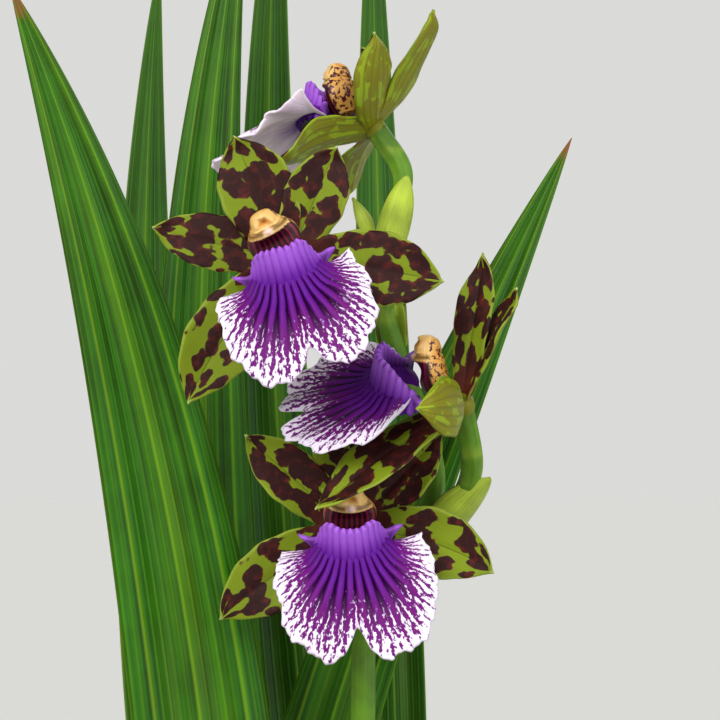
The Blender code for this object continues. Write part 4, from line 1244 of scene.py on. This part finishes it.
class ORCHID_OT_bulbs(bpy.types.Operator):
    """Build the pseudobulbs with the dry husks round them"""

    bl_idname = "orchid.bulbs"
    bl_label = "Build pseudobulbs"

    def execute(self, context):
        look = context.scene.orchid_plant
        skin = bulb_finish(look)
        paper = husk_finish(look)
        rows = 40
        for number, (side, ((x, y), height, radius)) in enumerate(BULBS.items()):
            name = "pseudobulb_" + side
            low = bark_height(x, y) - BULB_SINK
            tall = height + BULB_SINK
            profile = [(0.0, low + tall)]
            for k in range(rows + 1):
                share = 0.998 - 0.99 * k / rows
                profile.append((radius * bulb_radius(share), low + tall * share))
            profile.append((0.0, low))

            def ribbed(angle, r, z, number=number):
                depth = 0.35 + 0.25 * math.sin(2 * angle + number)
                return r * 0.98 + depth * (math.cos(11 * angle + number) - 1) * 0.5 * min(1.0, r / 6)

            bulb = turned(name + "_body", profile, 110, [skin], ribbed)
            bulb.data.transform(Matrix.Translation((x * MM, y * MM, 0.0)))
            finished(bulb, name)
            for k, (turn, reach, spread) in enumerate(HUSKS):
                sheath = (low + 6.0, tall, radius, turn + number * 1.1, reach, spread, paper)
                finished(husk(f"{name}_husk_{k + 1}", (x, y), *sheath))
        return {"FINISHED"}


class ORCHID_OT_leaves(bpy.types.Operator):
    """Build the strap leaves"""

    bl_idname = "orchid.leaves"
    bl_label = "Build leaves"

    def execute(self, context):
        look = context.scene.orchid_plant
        tops = {}
        for side, ((x, y), height, _) in BULBS.items():
            tops[side] = Vector((x, y, bark_height(x, y) + height))
        kinds = ((3 * math.pi, "leaf_broad", 1.0), (2 * math.pi, "leaf_narrow", 0.8))
        finishes = [leaf_finish(look, name, ribs, share) for ribs, name, share in kinds]
        thickness = look.leaf_thickness / MM
        for number, (name, (bulb, step, *shape)) in enumerate(LEAVES.items()):
            foot = tops[bulb] + Vector((step[0] * LEAF_GATHER, step[1] * LEAF_GATHER, -LEAF_ROOTED))
            narrow = shape[4] < NARROW_LEAF
            more = (number * 2.1, kinds[narrow][0], thickness, finishes[narrow])
            finished(leaf(f"leaf_{name}_blade", foot, *shape, *more), "leaf_" + name)
        return {"FINISHED"}


# Pot and bark


class ORCHID_OT_pot(bpy.types.Operator):
    """Build the plain clay pot with its drain holes"""

    bl_idname = "orchid.pot"
    bl_label = "Build pot"

    def execute(self, context):
        finish = clay_finish(context.scene.orchid_plant)
        lip_round = 2.2
        foot_inside = POT_FOOT_RADIUS - POT_WALL
        below_rim = POT_FOOT_RADIUS + POT_SLOPE * POT_RIM_LOW
        profile = [(0.0, POT_FLOOR), (foot_inside - 2.0, POT_FLOOR)]
        profile += [(foot_inside - 0.4, POT_FLOOR + 0.5), (foot_inside, POT_FLOOR + 2.0)]
        profile += [(below_rim - POT_WALL, POT_RIM_LOW)]
        middle = POT_TOP_RADIUS - POT_WALL + lip_round
        for k in range(9):
            turn = math.pi * (1 - k / 8)
            height = POT_HEIGHT - lip_round * (1 - math.sin(turn))
            profile.append((middle + lip_round * math.cos(turn), height))
        profile += [(POT_TOP_RADIUS - 0.4, POT_HEIGHT - 6.0), (POT_TOP_RADIUS - 0.9, POT_RIM_LOW + 3.0)]
        profile += [(POT_TOP_RADIUS - 1.4, POT_RIM_LOW + 0.8), (POT_TOP_RADIUS - 2.4, POT_RIM_LOW)]
        profile += [(below_rim + 0.3, POT_RIM_LOW), (below_rim, POT_RIM_LOW - 0.6)]
        for k in range(1, 12):
            height = POT_RIM_LOW * (1 - k / 12)
            profile.append((POT_FOOT_RADIUS + POT_SLOPE * height, height))
        profile += [(POT_FOOT_RADIUS, 1.6), (POT_FOOT_RADIUS - 0.6, 0.5)]
        profile += [(POT_FOOT_RADIUS - 2.0, 0.0), (0.0, 0.0)]

        def thrown(angle, r, z):
            return r + (0.12 * math.sin(z * 1.1 + angle) if 3.0 < z < POT_RIM_LOW - 2.0 else 0.0)

        pot = turned("clay_pot", profile, 144, [finish], thrown)
        self.drill(pot)
        finished(pot, "pot")
        return {"FINISHED"}

    @staticmethod
    def drill(pot):
        """Cuts the drain holes through the pot's floor."""
        for k in range(4):
            angle = math.radians(45 + 90 * k)
            centre = (DRAIN_CIRCLE * MM * math.cos(angle), DRAIN_CIRCLE * MM * math.sin(angle), 0.0)
            size = {"radius": DRAIN_RADIUS * MM, "depth": DRILL_LENGTH * MM}
            bpy.ops.mesh.primitive_cylinder_add(vertices=40, location=centre, **size)
            drill = bpy.context.object
            cut = pot.modifiers.new("drain", "BOOLEAN")
            cut.operation = "DIFFERENCE"
            cut.object = drill
            bpy.context.view_layer.objects.active = pot
            bpy.ops.object.modifier_apply(modifier="drain")
            bpy.data.objects.remove(drill)


BED_BELOW_CHIPS = 2.5
BED_LUMPS = 2.2
BED_TINT = 0.25
GOLDEN_ANGLE = 137.508
CHIP_SEED = 23
CHIP_SIDES = 7
# Each ring of a chip: its height as a share of the chip's thickness, and how far it draws in
CHIP_RINGS = ((-0.5, 0.86), (-0.2, 1.0), (0.25, 0.98), (0.5, 0.82))


def bark_chips(count, edge, chance, finish):
    """Loose chips over the bed: many-sided flakes, each rough and turned its own way."""
    points, faces, lays = [], [], []
    sides = CHIP_SIDES
    for k in range(count):
        r = edge * 0.95 * math.sqrt((k + 0.5) / count)
        angle = k * math.radians(GOLDEN_ANGLE)
        x, y = r * math.cos(angle), r * math.sin(angle)
        size = chance.uniform(2.2, 6.4) if k % 3 else chance.uniform(5.0, 8.0)
        if any(math.hypot(x - bx, y - by) < radius + 1.5 for (bx, by), _, radius in BULBS.values()):
            continue
        size = min(size, edge + 1.5 - r)
        if size < 1.2 or math.hypot(x - SCAPE[0][0], y - SCAPE[0][1]) < SCAPE_FOOT_RADIUS + 2.0:
            continue
        thick = size * chance.uniform(0.28, 0.5)
        centre = Vector((x, y, bark_height(x, y) - 1.6 + chance.uniform(0.0, 1.6)))
        lean = Vector((chance.uniform(-0.6, 0.6), chance.uniform(-0.6, 0.6), 1.0)).normalized()
        heading = Vector((math.cos(angle * 3.1), math.sin(angle * 3.1), 0.0))
        heading = (heading - lean * heading.dot(lean)).normalized()
        beside = lean.cross(heading)
        tint = chance.random()
        first = len(points)
        reaches = [size * chance.uniform(0.75, 1.05) for _ in range(sides)]
        for level, shrink in CHIP_RINGS:
            for j in range(sides):
                turn = 2 * math.pi * j / sides
                along = heading * math.cos(turn) * reaches[j] * shrink
                across = beside * math.sin(turn) * reaches[j] * 0.62 * shrink
                rough = lean * (level * thick + chance.uniform(-0.12, 0.12) * thick)
                points.append(centre + along + across + rough)
                lays.append((0.0, 0.0, tint))
        faces += ring_faces(3, sides, first)
        faces.append([first + j for j in reversed(range(sides))])
        faces.append([first + 3 * sides + j for j in range(sides)])
    obj = mesh_object("bark_chips", points, faces, [finish], None, lays)
    obj.data.shade_flat()
    return obj


class ORCHID_OT_bark(bpy.types.Operator):
    """Fill the pot with bark mix"""

    bl_idname = "orchid.bark"
    bl_label = "Build bark mix"

    def execute(self, context):
        look = context.scene.orchid_plant
        finish = bark_finish(look)
        foot_radius = POT_FOOT_RADIUS - POT_WALL - 0.7
        edge = foot_radius + POT_SLOPE * POT_RIM_LOW
        rows = 36
        profile = [(0.0, bark_height(0.0, 0.0) - BED_BELOW_CHIPS)]
        for k in range(1, rows + 1):
            r = edge * 0.995 * k / rows
            profile.append((r, bark_height(r, 0.0) - BED_BELOW_CHIPS))
        profile += [(edge, POT_RIM_LOW), (foot_radius, POT_FLOOR + 0.5), (0.0, POT_FLOOR + 0.5)]
        bed = turned("bark_bed", profile, 120, [finish])
        for vertex in bed.data.vertices:
            if vertex.co.z > (POT_RIM_LOW + 0.5) * MM:
                vertex.co.z += noise.noise(vertex.co * 140) * BED_LUMPS * MM
        for value in bed.data.attributes["lay"].data:
            value.vector = (value.vector[0], value.vector[1], BED_TINT)
        finished(bed, "bark_mix")
        finished(bark_chips(look.chip_count, edge, random.Random(CHIP_SEED), finish))
        return {"FINISHED"}


# Stage

# Strength of the light that comes from all sides
AMBIENT = 0.4
# The floor's mean tone, as a share of its colour
FLOOR_MEAN = 0.985
# How far the floor reaches, in metres
FLOOR_REACH = 6.0
SENSOR_WIDTH = 36.0
# Each light: its name, where it comes from, its width in degrees and its colour
LIGHTS = (
    ("key", (-0.55, -1.0, 0.78), 34, (1.0, 0.99, 0.96)),
    ("fill", (1.0, -0.8, 0.45), 60, (0.96, 0.98, 1.0)),
    ("rim", (0.5, 1.0, 0.7), 40, (1.0, 1.0, 1.0)),
)


class ORCHID_OT_stage(bpy.types.Operator):
    """Set up the floor, the lights and the camera"""

    bl_idname = "orchid.stage"
    bl_label = "Build stage"

    def execute(self, context):
        look = context.scene.orchid_stage
        self.floor(look)
        on_floor = 0.0
        for name, place, softness, tint in LIGHTS:
            light = bpy.data.lights.new(name + "_light", "SUN")
            light.energy = getattr(look, name + "_power")
            light.angle = math.radians(softness)
            light.color = tint
            lamp = linked(name + "_light", light)
            lamp.location = place
            lamp.rotation_euler = (-Vector(place)).to_track_quat("-Z", "Y").to_euler()
            on_floor += light.energy * Vector(place).normalized().z
        self.world(context, look, on_floor)
        camera = bpy.data.cameras.new("camera")
        camera.lens = look.lens
        camera.sensor_width = SENSOR_WIDTH
        camera.clip_start = 0.01
        viewer = linked("camera", camera)
        viewer.location = (0.0, -look.camera_distance, look.camera_height)
        viewer.rotation_euler = (math.radians(90), 0.0, 0.0)
        context.scene.camera = viewer
        return {"FINISHED"}

    @staticmethod
    def floor(look):
        """A wide, plain floor just under the pot."""
        mesh = bpy.data.meshes.new("floor")
        corners = [(x * FLOOR_REACH, y * FLOOR_REACH, 0.0) for x, y in ((-1, -1), (1, -1), (1, 1), (-1, 1))]
        mesh.from_pydata(corners, [], [(0, 1, 2, 3)])
        finish = Finish("floor")
        pale = finish.tones(finish.noise(finish.place, 60.0, 4.0), look.floor_colour, 0.97, 1.0)
        mesh.materials.append(finish.done(pale, 0.9, 0.0))
        linked("floor", mesh)

    @staticmethod
    def world(context, look, on_floor):
        """A plain pale surround that the camera sees as bright as the floor, so that the two run together."""
        world = bpy.data.worlds.new("studio")
        world.use_nodes = True
        steps = Steps(world.node_tree)
        seen = steps.out("LightPath", which="Is Camera Ray")
        surround = world.node_tree.nodes["Background"]
        steps.feed(surround.inputs["Color"], look.floor_colour)
        backdrop = FLOOR_MEAN * (on_floor / math.pi + AMBIENT * sum(look.floor_colour) / 3)
        steps.feed(surround.inputs["Strength"], steps.blend(seen, AMBIENT, backdrop))
        context.scene.world = world
        context.scene.view_settings.view_transform = "Standard"


class ORCHID_PT_panel(bpy.types.Panel):
    """The orchid's settings and build steps"""

    bl_idname = "ORCHID_PT_panel"
    bl_label = "Zygopetalum Orchid"
    bl_space_type = "VIEW_3D"
    bl_region_type = "UI"
    bl_category = "Orchid"

    def draw(self, context):
        for settings in (context.scene.orchid_flower, context.scene.orchid_plant, context.scene.orchid_stage):
            box = self.layout.box()
            for name in settings.__annotations__:
                box.prop(settings, name)
        for operator in OPERATORS:
            self.layout.operator(operator.bl_idname)


OPERATORS = (
    ORCHID_OT_stage,
    ORCHID_OT_pot,
    ORCHID_OT_bark,
    ORCHID_OT_bulbs,
    ORCHID_OT_leaves,
    ORCHID_OT_spike,
    ORCHID_OT_blooms,
)
CLASSES = (FlowerSettings, PlantSettings, StageSettings, *OPERATORS, ORCHID_PT_panel)


def register():
    for each in CLASSES:
        bpy.utils.register_class(each)
    bpy.types.Scene.orchid_flower = PointerProperty(type=FlowerSettings)
    bpy.types.Scene.orchid_plant = PointerProperty(type=PlantSettings)
    bpy.types.Scene.orchid_stage = PointerProperty(type=StageSettings)


def unregister():
    del bpy.types.Scene.orchid_stage
    del bpy.types.Scene.orchid_plant
    del bpy.types.Scene.orchid_flower
    for each in reversed(CLASSES):
        bpy.utils.unregister_class(each)


def main():
    """Builds the orchid on its stage."""
    register()
    bpy.ops.orchid.stage()
    bpy.ops.orchid.pot()
    bpy.ops.orchid.bark()
    bpy.ops.orchid.bulbs()
    bpy.ops.orchid.leaves()
    bpy.ops.orchid.spike()
    bpy.ops.orchid.blooms()


if __name__ == "__main__":
    main()
